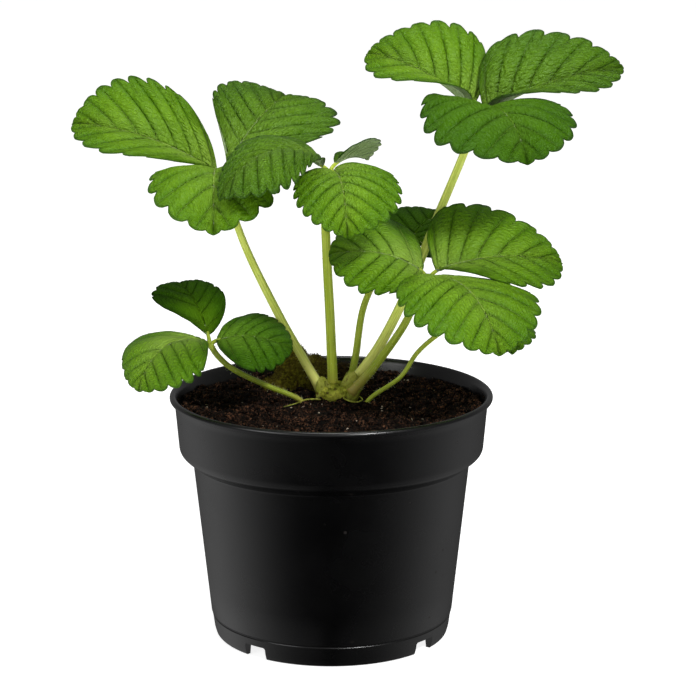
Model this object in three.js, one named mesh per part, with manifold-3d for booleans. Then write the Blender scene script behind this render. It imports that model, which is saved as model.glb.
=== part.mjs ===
// A young strawberry plant in a round black nursery pot. Millimetres, +Z up.
// The origin is the middle of the pot's base, on the surface that it stands on. The front is -Y.

import * as THREE from 'three';
import { mergeVertices } from 'three/addons/utils/BufferGeometryUtils.js';
import Module from 'manifold-3d';

const wasm = await Module();
wasm.setup();

// Driving dimensions

const GAP = 0.3; // clear space between pieces that touch
const POT_HEIGHT = 92;
const LIP_RADIUS = 60;
const LIP_BEAD = 1.2; // radius of the rounded bead round the lip
const WALL = 1.4; // thickness of the moulded wall
const BAND_TOP_RADIUS = 58.4; // outside, just under the lip
const BAND_BOTTOM_RADIUS = 56.7; // outside, at the foot of the taller band
const BAND_BOTTOM = 72.6; // height where the band ends
const SHOULDER = 4; // radius of the rounded shoulder under the band
const BODY_TOP = 66.4; // height of the ledge where the body begins
const BODY_TOP_RADIUS = 51.6;
const BODY_FOOT_RADIUS = 45.4; // outside, at the groove above the feet
const GROOVE_HEIGHT = 8.5;
const FOOT_RADIUS = 43.8; // outside of the feet where they stand
const FOOT_WALL = 2.2;
const FLOOR_RISE = 4.8; // underside of the raised ring of the floor
const FLOOR_DISC_RADIUS = 20; // flat disc in the middle that stands on the surface
const NOTCHES = 4; // drainage notches between the feet
const NOTCH_WIDTH = 9.6;
const NOTCH_TURN = 51; // degrees from the front to the first notch
const DRAINS = 8; // drainage holes in the raised ring of the floor
const DRAIN_RADIUS = 3.5;
const DRAIN_CIRCLE = 32;

const SOIL_LEVEL = 87;
const SOIL_LUMP = 1.1; // height of the larger lumps
const CROWN_RADIUS = 5.6;
const CROWN_TOP = 95;
const ROOTSTOCK_FOOT = 70; // how deep the woody rootstock goes
const BLADE = 0.7; // thickness of a leaf blade
const LAST_NOTCH = 0.975; // where the tooth at a leaflet's tip begins, as a share of the outline
const TOOTH_DEPTH = 0.11;

// Colours and finishes

const finish = (name, color, roughness) => {
  const material = new THREE.MeshStandardMaterial({ color, roughness, metalness: 0 });
  material.name = name;
  return material;
};
const POT_PLASTIC = () => finish('pot_plastic', 0x1c1e1f, 0.5);
const PEAT = () => finish('peat', 0x1f1712, 1);
const MOSS = () => finish('moss', 0x2f2d12, 1);
const CROWN_GREEN = () => finish('crown', 0xa3a84c, 0.6);
const STALK_GREEN = () => finish('stalk', 0x9db33f, 0.5);
const LEAF_GREEN = () => finish('leaf', 0x4f8a24, 0.5);
const SHADE_GREEN = () => finish('leaf_dark', 0x2f6316, 0.5);

const plant = new THREE.Group();

const rad = THREE.MathUtils.degToRad;
const vec = (point) => new THREE.Vector3(...point);

// A small generator, so that lumps fall the same way on every run.
const drawer = (seed) => {
  let state = seed;
  return () => {
    state = (state * 1664525 + 1013904223) % 4294967296;
    return state / 4294967296;
  };
};

// Solids

const toSolid = (geometry) => {
  const bare = geometry.clone();
  bare.deleteAttribute('normal');
  bare.deleteAttribute('uv');
  const merged = mergeVertices(bare, 1e-4);
  return new wasm.Manifold(new wasm.Mesh({
    numProp: 3,
    vertProperties: new Float32Array(merged.attributes.position.array),
    triVerts: new Uint32Array(merged.index.array),
  }));
};

const toGeometry = (solid) => {
  const mesh = solid.getMesh();
  const geometry = new THREE.BufferGeometry();
  geometry.setAttribute('position', new THREE.BufferAttribute(new Float32Array(mesh.vertProperties), 3));
  geometry.setIndex(new THREE.BufferAttribute(new Uint32Array(mesh.triVerts), 1));
  geometry.computeVertexNormals();
  return geometry;
};

const addNode = (name, geometry, material) => {
  const mesh = new THREE.Mesh(geometry, material);
  mesh.name = name;
  plant.add(mesh);
};

const lathe = (points, segments) => {
  const geometry = new THREE.LatheGeometry(points.map(([r, z]) => new THREE.Vector2(r, z)), segments);
  return geometry.rotateX(Math.PI / 2);
};

// Quarter turn from one profile point to another, for rounded corners.
const arc = (centre, radius, from, to, steps) => Array.from({ length: steps + 1 }, (_, i) => {
  const a = rad(from + ((to - from) * i) / steps);
  return [centre[0] + radius * Math.cos(a), centre[1] + radius * Math.sin(a)];
});

// A round tube that tapers along a smooth route.
const tube = (route, radii, sides, steps) => {
  const curve = new THREE.CatmullRomCurve3(route.map(vec), false, 'centripetal');
  const frames = curve.computeFrenetFrames(steps, false);
  const shape = new THREE.Shape();
  for (let i = 0; i < sides; i += 1) {
    const a = (2 * Math.PI * i) / sides;
    if (i === 0) shape.moveTo(Math.cos(a), Math.sin(a));
    else shape.lineTo(Math.cos(a), Math.sin(a));
  }
  const geometry = new THREE.ExtrudeGeometry(shape, { steps, bevelEnabled: false, extrudePath: curve });
  const position = geometry.attributes.position;
  const centres = Array.from({ length: steps + 1 }, (_, i) => curve.getPointAt(i / steps));
  const point = new THREE.Vector3();
  for (let i = 0; i < position.count; i += 1) {
    point.fromBufferAttribute(position, i);
    let near = 0;
    let best = Infinity;
    centres.forEach((centre, k) => {
      const off = point.clone().sub(centre);
      const along = Math.abs(off.dot(frames.tangents[k]));
      const error = along + Math.abs(off.length() - 1);
      if (error < best) {
        best = error;
        near = k;
      }
    });
    const share = near / steps;
    const radius = radii[0] + (radii[1] - radii[0]) * share;
    point.sub(centres[near]).multiplyScalar(radius).add(centres[near]);
    position.setXYZ(i, point.x, point.y, point.z);
  }
  return geometry;
};

// The pot

const POT_SIDES = 48;
const bandInner = (z) => {
  const share = (z - BAND_BOTTOM) / (POT_HEIGHT - BAND_BOTTOM);
  return BAND_BOTTOM_RADIUS + (BAND_TOP_RADIUS - BAND_BOTTOM_RADIUS) * share - WALL;
};
const bodyOuter = (z) => {
  const share = (z - GROOVE_HEIGHT) / (BODY_TOP - GROOVE_HEIGHT);
  return BODY_FOOT_RADIUS + (BODY_TOP_RADIUS - BODY_FOOT_RADIUS) * share;
};
const floorTop = FLOOR_RISE + WALL;
const wellRadius = FLOOR_DISC_RADIUS - WALL;

// The hollow's outline, from the middle of its floor up to the mouth.
const hollowProfile = (inset, top) => [
  [0, WALL + inset],
  [wellRadius - inset, WALL + inset],
  [wellRadius + 2 - inset, floorTop + inset],
  [bodyOuter(floorTop) - WALL - inset - 0.6, floorTop + inset],
  [bodyOuter(BODY_TOP) - WALL - inset, BODY_TOP + WALL + inset * 0.8],
  [bandInner(BAND_BOTTOM) - 1.2 - inset, BODY_TOP + WALL + 2.4 + inset * 0.8],
  [bandInner(BAND_BOTTOM) - inset, BAND_BOTTOM + WALL],
  [bandInner(top) - inset, top],
];

const makePot = () => {
  const lipCentre = [LIP_RADIUS - LIP_BEAD, POT_HEIGHT - LIP_BEAD];
  const shoulderCentre = [BAND_BOTTOM_RADIUS - SHOULDER, BAND_BOTTOM];
  const profile = [
    [0, 0],
    [FLOOR_DISC_RADIUS, 0],
    [FLOOR_DISC_RADIUS + 2, FLOOR_RISE],
    [FOOT_RADIUS - FOOT_WALL - 0.6, FLOOR_RISE],
    [FOOT_RADIUS - FOOT_WALL, 0],
    [FOOT_RADIUS - 0.6, 0],
    [FOOT_RADIUS + 0.5, 2.5],
    [BODY_FOOT_RADIUS - 0.4, GROOVE_HEIGHT - 1.2],
    [BODY_FOOT_RADIUS - 0.4, GROOVE_HEIGHT - 0.4],
    [BODY_FOOT_RADIUS, GROOVE_HEIGHT],
    [BODY_TOP_RADIUS, BODY_TOP],
    ...arc(shoulderCentre, SHOULDER, -75, 0, 4),
    [BAND_TOP_RADIUS, POT_HEIGHT - 2.6],
    ...arc(lipCentre, LIP_BEAD, -50, 130, 5),
    ...hollowProfile(0, POT_HEIGHT - 1.6).reverse(),
  ];
  let solid = toSolid(lathe(profile, POT_SIDES));
  for (let i = 0; i < NOTCHES; i += 1) {
    const turn = rad(NOTCH_TURN + (360 * i) / NOTCHES);
    const notch = new THREE.BoxGeometry(NOTCH_WIDTH, 12, FLOOR_RISE * 2);
    notch.translate(0, -FOOT_RADIUS, 0).rotateZ(turn);
    solid = solid.subtract(toSolid(notch));
  }
  for (let i = 0; i < DRAINS; i += 1) {
    const turn = (2 * Math.PI * (i + 0.5)) / DRAINS;
    const drain = new THREE.CylinderGeometry(DRAIN_RADIUS, DRAIN_RADIUS, 8, 12).rotateX(Math.PI / 2);
    drain.translate(DRAIN_CIRCLE * Math.cos(turn), DRAIN_CIRCLE * Math.sin(turn), FLOOR_RISE);
    solid = solid.subtract(toSolid(drain));
  }
  addNode('pot', toGeometry(solid), POT_PLASTIC());
};

// Leaf blades

// A half blade's outline in lengths of the midrib: how far out, and how far along.
const HEAD_HANDLE = 0.86;
const halfOutline = (s, half) => {
  const first = 3 * (1 - s) * (1 - s) * s;
  const second = 3 * (1 - s) * s * s;
  return [first * half.shoulder + second * half.head, first * half.heel + second * HEAD_HANDLE + s ** 3];
};

// Where tooth k of a half begins, as a share of the outline. Teeth get smaller towards the tip.
const toothStart = (k, half) => half.toothed + (LAST_NOTCH - half.toothed) * (1 - (1 - k / half.teeth) ** 1.3);

// How far the edge reaches at s: 1 on a tooth's crest, less in a notch. Side teeth lean forward.
const toothReach = (s, half) => {
  if (s <= half.toothed) return 1;
  let k = 0;
  while (k < half.teeth && s > toothStart(k + 1, half)) k += 1;
  const from = toothStart(k, half);
  const to = k < half.teeth ? toothStart(k + 1, half) : 2 - from;
  const phase = Math.min(1, (s - from) / (to - from)) ** (k < half.teeth ? 1.6 : 1);
  return 1 - TOOTH_DEPTH * (1 - Math.max(0, Math.sin(Math.PI * phase)) ** 0.5);
};

// The middle surface of a blade. side is 1 for its left half and -1 for its right half.
class BladeSurface {
  constructor({ base, tip, left, right, roll = 0, bow = 3 }) {
    this.base = vec(base);
    this.run = vec(tip).sub(this.base);
    this.bow = bow;
    this.halves = new Map([[1, this.half(left)], [-1, this.half(right)]]);
    const along = this.run.clone().normalize();
    const up = new THREE.Vector3(0, 0, 1);
    this.up = up.addScaledVector(along, -up.dot(along)).normalize().applyAxisAngle(along, rad(roll));
  }

  half({ width, shoulder = 0.46, fold = [10, 10], curl = 20, head = 1.08, teeth = 6, toothed = 0.42, heel }) {
    const half = { width, shoulder, fold, curl: rad(curl), head, teeth, toothed };
    half.heel = heel ?? 0.1 - 0.25 * (shoulder - 0.46);
    half.widest = Math.max(...Array.from({ length: 101 }, (_, i) => halfOutline(i / 100, half)[0]));
    return half;
  }

  // The midrib's point, direction and normal at share u of its length.
  midrib(u) {
    const point = this.base.clone().addScaledVector(this.run, u).addScaledVector(this.up, this.bow * 4 * u * (1 - u));
    const along = this.run.clone().addScaledVector(this.up, this.bow * 4 * (1 - 2 * u)).normalize();
    const normal = this.up.clone().addScaledVector(along, -this.up.dot(along)).normalize();
    return { point, along, normal };
  }

  // The point on vein line s, at share t of the way from the midrib to the edge.
  at(s, t, side) {
    const half = this.halves.get(side);
    const [out, end] = halfOutline(s, half);
    const start = 0.93 * s ** 2.6;
    let x = (out / half.widest) * half.width * t;
    let y = start + (end - start) * t ** 1.15;
    if (t > 0.6) {
      const pull = 1 - (1 - toothReach(s, half)) * ((t - 0.6) / 0.4);
      x *= pull;
      y = start + (y - start) * pull;
    }
    const fold = rad(half.fold[1] + (half.fold[0] - half.fold[1]) * (1 - Math.min(Math.max(y, 0), 1)) ** 2);
    const reach = half.width / half.curl;
    const bend = fold - (half.curl * x) / half.width;
    const across = reach * (Math.sin(fold) - Math.sin(bend));
    const lift = reach * (Math.cos(bend) - Math.cos(fold));
    const { point, along, normal } = this.midrib(y);
    const sideways = normal.clone().cross(along);
    return point.addScaledVector(sideways, across * side).addScaledVector(normal, lift);
  }
}

// Values of s along the midrib, the middle of a half and the toothed edge.
const RIB_STOPS = [0, 0.4, 0.58, 0.72, 0.84, 0.93, 1];
const columnsOf = (half) => {
  const marks = (phases) => Array.from({ length: half.teeth }, (_, k) => phases.map((phase) => {
    const from = toothStart(k, half);
    return from + (toothStart(k + 1, half) - from) * phase;
  })).flat();
  const low = half.toothed;
  return [
    { t: 0, stops: RIB_STOPS },
    { t: 0.55, stops: [0, low * 0.55, ...marks([0]), LAST_NOTCH, 1] },
    { t: 1, stops: [0, low * 0.3, low * 0.62, ...marks([0, 0.15, 0.45, 0.8]), LAST_NOTCH, LAST_NOTCH * 0.6 + 0.4, 1] },
  ];
};

// Both faces share one set of triangles, so that the thin blade never crosses itself.
const bladeGeometry = (surface) => {
  const points = [];
  const triangles = [];
  const known = new Map();
  const rim = [];
  const vertex = (s, t, side) => {
    const shared = s === 0 ? 'base' : null;
    const end = s === 1 ? `tip${t}` : null;
    const middle = t === 0 ? `rib${s}` : null;
    const key = shared ?? end ?? middle ?? `${side}:${t}:${s}`;
    if (!known.has(key)) {
      known.set(key, points.length);
      points.push(surface.at(s, t, side));
    }
    return known.get(key);
  };
  const face = (a, b, c, side) => {
    if (a === b || b === c || a === c) return;
    triangles.push(side > 0 ? [a, b, c] : [a, c, b]);
  };
  for (const side of [1, -1]) {
    const columns = columnsOf(surface.halves.get(side));
    for (let c = 0; c < columns.length - 1; c += 1) {
      const inner = columns[c];
      const outer = columns[c + 1];
      let i = 0;
      let j = 0;
      while (i < inner.stops.length - 1 || j < outer.stops.length - 1) {
        const a = vertex(inner.stops[i], inner.t, side);
        const b = vertex(outer.stops[j], outer.t, side);
        const nextInner = inner.stops[i + 1] ?? Infinity;
        const nextOuter = outer.stops[j + 1] ?? Infinity;
        if (nextOuter <= nextInner) {
          j += 1;
          face(a, vertex(outer.stops[j], outer.t, side), b, side);
        } else {
          i += 1;
          face(a, vertex(inner.stops[i], inner.t, side), b, side);
        }
      }
    }
    const edge = columns.at(-1).stops.map((s) => vertex(s, 1, side));
    for (let k = 0; k < edge.length - 1; k += 1) {
      rim.push(side > 0 ? [edge[k + 1], edge[k]] : [edge[k], edge[k + 1]]);
    }
  }
  const normals = points.map(() => new THREE.Vector3());
  for (const [a, b, c] of triangles) {
    const normal = points[b].clone().sub(points[a]).cross(points[c].clone().sub(points[a]));
    for (const k of [a, b, c]) normals[k].add(normal);
  }
  const flat = [];
  for (const level of [0.5, -0.5]) {
    points.forEach((point, k) => {
      const shifted = point.clone().addScaledVector(normals[k].clone().normalize(), BLADE * level);
      flat.push(shifted.x, shifted.y, shifted.z);
    });
  }
  const under = points.length;
  const index = [];
  for (const [a, b, c] of triangles) index.push(a, b, c, a + under, c + under, b + under);
  for (const [a, b] of rim) index.push(a, a + under, b + under, a, b + under, b);
  const geometry = new THREE.BufferGeometry();
  geometry.setAttribute('position', new THREE.Float32BufferAttribute(flat, 3));
  geometry.setIndex(index);
  geometry.computeVertexNormals();
  return geometry;
};

// The leaves, from the foot of each stalk to its three leaflets. Places and widths are in
// millimetres, folds and curls in degrees. fold is a half's slope at the base and at the tip.

const LEAVES = [
  {
    name: 'left_high',
    route: [[-3.5, 3.5, 91.5], [-9.5, 6, 101.5], [-19, 8, 118.5], [-30, 9, 141], [-36, 9, 157], [-40.5, 8, 172]],
    radii: [1.9, 1.3],
    leaflets: [
      {
        name: 'outer', base: [-42, 8, 173.5], tip: [-95.5, 14, 190.5], roll: -46, bow: 7,
        left: { width: 15, shoulder: 0.34, fold: [58, 16], curl: 10, head: 0.9, teeth: 5, toothed: 0.45 },
        right: { width: 22.5, shoulder: 0.6, fold: [24, 18], curl: 10, head: 0.9, teeth: 7, toothed: 0.36, heel: 0.3 },
      },
      {
        name: 'back', base: [-38.5, 12, 175], tip: [-17.5, 48, 197], roll: 16, bow: 4,
        left: { width: 23, shoulder: 0.02, fold: [15, 10], curl: 15, head: 1.3, teeth: 5, toothed: 0.52 },
        right: { width: 31, shoulder: 0.4, fold: [22, 16], curl: 20, teeth: 5, toothed: 0.48 },
      },
      {
        name: 'front', base: [-42, 5, 172], tip: [-41, -38, 158], bow: 12,
        left: { width: 24, fold: [8, 8], curl: 25, teeth: 5 },
        right: { width: 24, shoulder: 0.5, fold: [8, 8], curl: 25, teeth: 5 },
      },
    ],
  },
  {
    name: 'centre',
    route: [[0.5, 3, 90], [0.3, 2, 100], [-0.5, -2, 122], [-1.5, -5, 143], [-2, -7, 162], [-0.5, -8, 176]],
    radii: [1.9, 1.5],
    leaflets: [
      {
        name: 'left', base: [-2.9, -9.2, 178.2], tip: [-39.3, -36.5, 170], bow: 11.5,
        left: { width: 24, shoulder: 0.36, fold: [12, 0], curl: 38, head: 1.15, teeth: 8, toothed: 0.36 },
        right: { width: 18, shoulder: 0.85, fold: [35, 3], curl: 18, head: 0.3, teeth: 7 },
      },
      {
        name: 'front', base: [0.5, -12, 176.5], tip: [6, -42, 157.5], bow: 9,
        left: { width: 22, shoulder: 0.5, fold: [28, 12], curl: 40, teeth: 7 },
        right: { width: 18, shoulder: 0.6, fold: [14, 7], curl: 40, teeth: 7 },
      },
      {
        name: 'right', base: [1.5, -5, 178.5], tip: [13.5, 10, 177.5], bow: 2,
        left: { width: 7, shoulder: 0.3, fold: [10, 10], curl: 10, teeth: 4 },
        right: { width: 12, shoulder: 0.6, fold: [50, 42], curl: 15, teeth: 5, toothed: 0.5 },
      },
    ],
  },
  {
    name: 'right_high',
    route: [[6, 3.5, 92], [18, 6, 108.5], [29, 8, 130.5], [39, 9, 156], [48, 8, 178.5], [53.5, 6, 194]],
    radii: [2.1, 1.5],
    leaflets: [
      {
        name: 'left', base: [51.2, 10, 196.4], tip: [13, 17.5, 215.8], roll: -40, bow: 6,
        left: { width: 16.5, shoulder: 0.36, fold: [100, 14], curl: 10, head: 0.9, teeth: 4, toothed: 0.5 },
        right: { width: 25.6, shoulder: 1.5, fold: [24, 14], curl: 20, head: 0.85, teeth: 7, toothed: 0.3, heel: 0.08 },
      },
      {
        name: 'right', base: [56.6, 6.6, 195.4], tip: [107, 11, 211.4], roll: 47, bow: 6,
        left: { width: 24.4, shoulder: 1.35, fold: [24, 8], curl: 20, head: 0.66, teeth: 6, toothed: 0.32, heel: 0.07 },
        right: { width: 12.5, shoulder: 0.4, fold: [107, 12], curl: 10, head: 0.74, teeth: 5, toothed: 0.5 },
      },
      {
        name: 'front', base: [53.5, 4, 194.5], tip: [69, -38, 183], bow: 10,
        left: { width: 25, shoulder: 0.5, fold: [22, 10], curl: 25, toothed: 0.36 },
        right: { width: 33, shoulder: 0.62, fold: [38, 0], curl: 25, head: 1.1 },
      },
    ],
  },
  {
    name: 'right',
    route: [[7.5, -1, 92], [16, -3, 102.5], [26, -8, 118], [31.8, -11.5, 131], [35.2, -12.9, 137.2]],
    radii: [1.8, 1.3],
    leaflets: [
      {
        name: 'left', base: [33.2, -12, 140.3], tip: [-1, -14, 146.5], roll: -30, bow: 5,
        left: { width: 23, shoulder: 0.6, fold: [10, 10], curl: 25, teeth: 5 },
        right: { width: 21.5, shoulder: 0.86, fold: [12, 8], curl: 25, head: 0.92, teeth: 4, toothed: 0.6 },
      },
      {
        name: 'outer', base: [38, -12, 140.6], tip: [84.5, -4.6, 142], roll: 34, bow: 5,
        left: { width: 27.3, shoulder: 1.25, fold: [20, 10], curl: 20, head: 0.6, teeth: 6, toothed: 0.32 },
        right: { width: 18.5, shoulder: 0.3, fold: [34, 10], curl: 15, head: 1.14, teeth: 5, toothed: 0.5 },
      },
      {
        name: 'front', base: [37.5, -17.6, 139.4], tip: [59.3, -53, 118], bow: 9,
        left: { width: 26.4, shoulder: 0.72, fold: [-9, 13], curl: 28, head: 0.98, teeth: 6, toothed: 0.44 },
        right: { width: 30.2, shoulder: 0.74, fold: [8, 8], curl: 27, head: 1.12, teeth: 7 },
      },
    ],
  },
  {
    name: 'back',
    dark: true,
    route: [[6.4, 8.6, 91], [9, 11, 102.5], [12, 16, 120.5], [18.5, 19.5, 133.5], [25, 21.5, 138]],
    radii: [1.4, 1.1],
    leaflets: [
      {
        name: 'left', base: [23.4, 23, 141.2], tip: [6.5, 24, 148.5], roll: -20,
        left: { width: 15, shoulder: 0.5, curl: 15, teeth: 5 },
        right: { width: 15, shoulder: 0.5, curl: 15, teeth: 5 },
      },
      {
        name: 'middle', base: [27.5, 24.5, 141], tip: [43, 48, 151.5],
        left: { width: 17, shoulder: 0.6, fold: [15, 15], curl: 15, teeth: 5 },
        right: { width: 17, shoulder: 0.6, fold: [5, 5], curl: 15, teeth: 5 },
      },
      {
        name: 'right', base: [29.3, 19.6, 139.3], tip: [52.5, 24, 134],
        left: { width: 14, shoulder: 0.5, curl: 15, teeth: 5 },
        right: { width: 14, shoulder: 0.5, curl: 15, teeth: 5 },
      },
    ],
  },
  {
    name: 'right_low',
    route: [[10.5, -4, 85], [15, -2, 90.5], [25.5, 0, 97.5], [31.5, 0, 106.5], [37.5, -1, 112.5], [43.2, -3.8, 117.2]],
    radii: [0.9, 0.9],
    leaflets: [
      {
        name: 'back', base: [40.8, -0.6, 120.6], tip: [33, 22, 121],
        left: { width: 8, shoulder: 0.45, curl: 15, teeth: 5 },
        right: { width: 8, shoulder: 0.45, curl: 15, teeth: 5 },
      },
      {
        name: 'outer', base: [46.8, -2.4, 119.6], tip: [66.5, 24.5, 124],
        left: { width: 9, shoulder: 0.5, curl: 15, teeth: 5 },
        right: { width: 15, shoulder: 0.5, curl: 15, teeth: 5 },
      },
      {
        name: 'front', base: [44.5, -6.5, 119], tip: [65, -34, 114.4], bow: 6,
        left: { width: 21, shoulder: 0.6, fold: [4, 4], curl: 25 },
        right: { width: 18, shoulder: 0.6, fold: [8, 8], curl: 25 },
      },
    ],
  },
  {
    name: 'left_low',
    route: [[-8, -3, 85.5], [-12.5, -4, 90.5], [-23, -6, 95.5], [-35, -8, 102], [-41, -8, 107], [-44.4, -8, 112]],
    radii: [1, 1.2],
    leaflets: [
      {
        name: 'front', base: [-47.2, -8.8, 113.6], tip: [-69.6, -27, 98.6], bow: 8,
        left: { width: 26, fold: [5, 5], curl: 25, head: 1.3, teeth: 5, toothed: 0.55 },
        right: { width: 23, shoulder: 1, fold: [8, 4], curl: 25, teeth: 3, toothed: 0.74 },
      },
      {
        name: 'back', dark: true, base: [-45, -6, 115], tip: [-57, 18, 130],
        left: { width: 15, shoulder: 0.2, fold: [10, 5], curl: 15, teeth: 3, toothed: 0.66 },
        right: { width: 12, shoulder: 0.5, fold: [12, 12], curl: 15, teeth: 4, toothed: 0.58 },
      },
      {
        name: 'right', base: [-41.8, -8.4, 113.8], tip: [-14, -10, 110], roll: 20, bow: 4,
        left: { width: 17, shoulder: 0.6, fold: [12, 5], curl: 20, teeth: 5, toothed: 0.5 },
        right: { width: 19.5, shoulder: 0.6, fold: [0, 0], curl: 15, head: 1.2, teeth: 4, toothed: 0.6 },
      },
    ],
  },
];

const STALK_SIDES = 8;
const LEAFLET_STALK_RADIUS = 0.75;

const stalkTube = (leaf, extra) => {
  const radii = leaf.radii.map((radius) => radius + extra);
  return tube(leaf.route, radii, STALK_SIDES, leaf.route.length * 2);
};

// A leaf stalk, with a short stalk of its own for each leaflet, grown as one piece.
const stalkSolid = (leaf) => {
  let solid = toSolid(stalkTube(leaf, 0));
  const top = vec(leaf.route.at(-1));
  for (const leaflet of leaf.leaflets) {
    const base = vec(leaflet.base);
    const reach = base.clone().sub(top);
    const start = top.clone().addScaledVector(reach.clone().normalize(), -0.4);
    start.z -= 0.6;
    const end = base.clone().addScaledVector(reach.normalize(), -GAP - 0.3);
    const radii = [LEAFLET_STALK_RADIUS, LEAFLET_STALK_RADIUS * 0.8];
    solid = solid.add(toSolid(tube([start.toArray(), end.toArray()], radii, 6, 1)));
  }
  return solid;
};

const makeLeaf = (leaf) => {
  addNode(`stalk_${leaf.name}`, toGeometry(stalkSolid(leaf)), STALK_GREEN());
  for (const leaflet of leaf.leaflets) {
    const material = leaf.dark || leaflet.dark ? SHADE_GREEN() : LEAF_GREEN();
    addNode(`leaflet_${leaf.name}_${leaflet.name}`, bladeGeometry(new BladeSurface(leaflet)), material);
  }
};

// Space for each stalk in what it stands in: the stalk itself with the usual gap all round.
const CLEARANCE = GAP * 1.12; // covers the flats of the many-sided tubes
const stalkSpaces = LEAVES.map((leaf) => {
  const foot = vec(leaf.route[0]);
  const along = vec(leaf.route[1]).sub(foot).normalize();
  const below = foot.clone().addScaledVector(along, -CLEARANCE);
  const above = foot.clone().addScaledVector(along, 1);
  const radius = leaf.radii[0] + CLEARANCE;
  const heel = toSolid(tube([below.toArray(), above.toArray()], [radius, radius], STALK_SIDES, 1));
  return toSolid(stalkTube(leaf, CLEARANCE)).add(heel);
});

// The crown: a short thick stem on a rootstock, with the papery sheaths of the stalks round it.
const makeCrown = () => {
  const profile = [
    [0, ROOTSTOCK_FOOT],
    [2.5, ROOTSTOCK_FOOT],
    [4, ROOTSTOCK_FOOT + 8],
    [CROWN_RADIUS - 0.6, SOIL_LEVEL - 3],
    [CROWN_RADIUS, SOIL_LEVEL + 1],
    [CROWN_RADIUS + 0.6, SOIL_LEVEL + 4],
    [CROWN_RADIUS - 0.4, CROWN_TOP - 1.5],
    [2.6, CROWN_TOP],
    [0, CROWN_TOP],
  ];
  const body = lathe(profile, 14).translate(1.6, 2.6, 0);
  let solid = toSolid(body);
  const sheaths = [
    { from: [-2.6, 1.2, 90], to: [-3.4, 0.6, 96.4], width: 2.6, turn: 20 },
    { from: [4.2, 0.6, 91], to: [5.2, 1.2, 98.6], width: 4.6, turn: 0 },
    { from: [2.4, 6.4, 91], to: [3.4, 7.4, 98], width: 4, turn: 30 },
  ];
  for (const sheath of sheaths) {
    const shape = new THREE.Shape();
    const length = vec(sheath.to).distanceTo(vec(sheath.from));
    shape.moveTo(-sheath.width / 2, -1);
    shape.lineTo(sheath.width / 2, -1);
    shape.quadraticCurveTo(sheath.width / 2, length * 0.6, 0, length);
    shape.quadraticCurveTo(-sheath.width / 2, length * 0.6, -sheath.width / 2, -1);
    const flap = new THREE.ExtrudeGeometry(shape, { depth: 1, bevelEnabled: false, curveSegments: 3 });
    flap.translate(0, 0, -0.5).rotateX(Math.PI / 2).rotateZ(rad(sheath.turn));
    flap.translate(...sheath.from);
    solid = solid.add(toSolid(flap));
  }
  for (const space of stalkSpaces) solid = solid.subtract(space);
  return solid;
};

// The soil: peat that fills the pot, with a lumpy top and plain holes for what stands in it.
const SOIL_RINGS = 9;

const makeSoil = () => {
  const draw = drawer(7);
  const lumps = Array.from({ length: 26 }, () => {
    const turn = 2 * Math.PI * draw();
    const out = 12 + 44 * Math.sqrt(draw());
    return { x: out * Math.cos(turn), y: out * Math.sin(turn), size: 6 + 6 * draw(), high: SOIL_LUMP * (2 * draw() - 0.8) };
  });
  const height = (x, y) => {
    const mound = 1.6 * Math.exp(-(x * x + y * y) / 300);
    return lumps.reduce((sum, lump) => {
      const far = ((x - lump.x) ** 2 + (y - lump.y) ** 2) / lump.size ** 2;
      return sum + lump.high * Math.exp(-far);
    }, SOIL_LEVEL + mound);
  };
  const wall = hollowProfile(GAP * 1.25, SOIL_LEVEL);
  const edge = wall.at(-1)[0];
  const profile = wall.slice(1);
  const points = [0, 0, wall[0][1]];
  const ring = (radius, level) => {
    for (let k = 0; k < POT_SIDES; k += 1) {
      const turn = (2 * Math.PI * k) / POT_SIDES;
      const x = radius * Math.cos(turn);
      const y = radius * Math.sin(turn);
      points.push(x, y, level === null ? height(x, y) : level);
    }
  };
  profile.slice(0, -1).forEach(([radius, level]) => ring(radius, level));
  for (let i = SOIL_RINGS; i >= 1; i -= 1) ring((edge * i) / SOIL_RINGS, null);
  points.push(0, 0, height(0, 0));
  const rings = profile.length - 1 + SOIL_RINGS;
  const index = [];
  const at = (r, k) => 1 + r * POT_SIDES + (k % POT_SIDES);
  for (let k = 0; k < POT_SIDES; k += 1) {
    index.push(0, at(0, k + 1), at(0, k));
    for (let r = 0; r < rings - 1; r += 1) {
      index.push(at(r, k), at(r, k + 1), at(r + 1, k + 1), at(r, k), at(r + 1, k + 1), at(r + 1, k));
    }
    index.push(at(rings - 1, k), at(rings - 1, k + 1), points.length / 3 - 1);
  }
  const geometry = new THREE.BufferGeometry();
  geometry.setAttribute('position', new THREE.Float32BufferAttribute(points, 3));
  geometry.setIndex(index);
  let solid = toSolid(geometry);
  const hole = lathe([
    [0, ROOTSTOCK_FOOT - GAP],
    [CROWN_RADIUS + 0.7, ROOTSTOCK_FOOT - GAP],
    [CROWN_RADIUS + 0.7, CROWN_TOP],
    [0, CROWN_TOP],
  ], 16).translate(1.6, 2.6, 0);
  solid = solid.subtract(toSolid(hole));
  for (const space of stalkSpaces) solid = solid.subtract(space);
  return solid;
};

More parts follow.
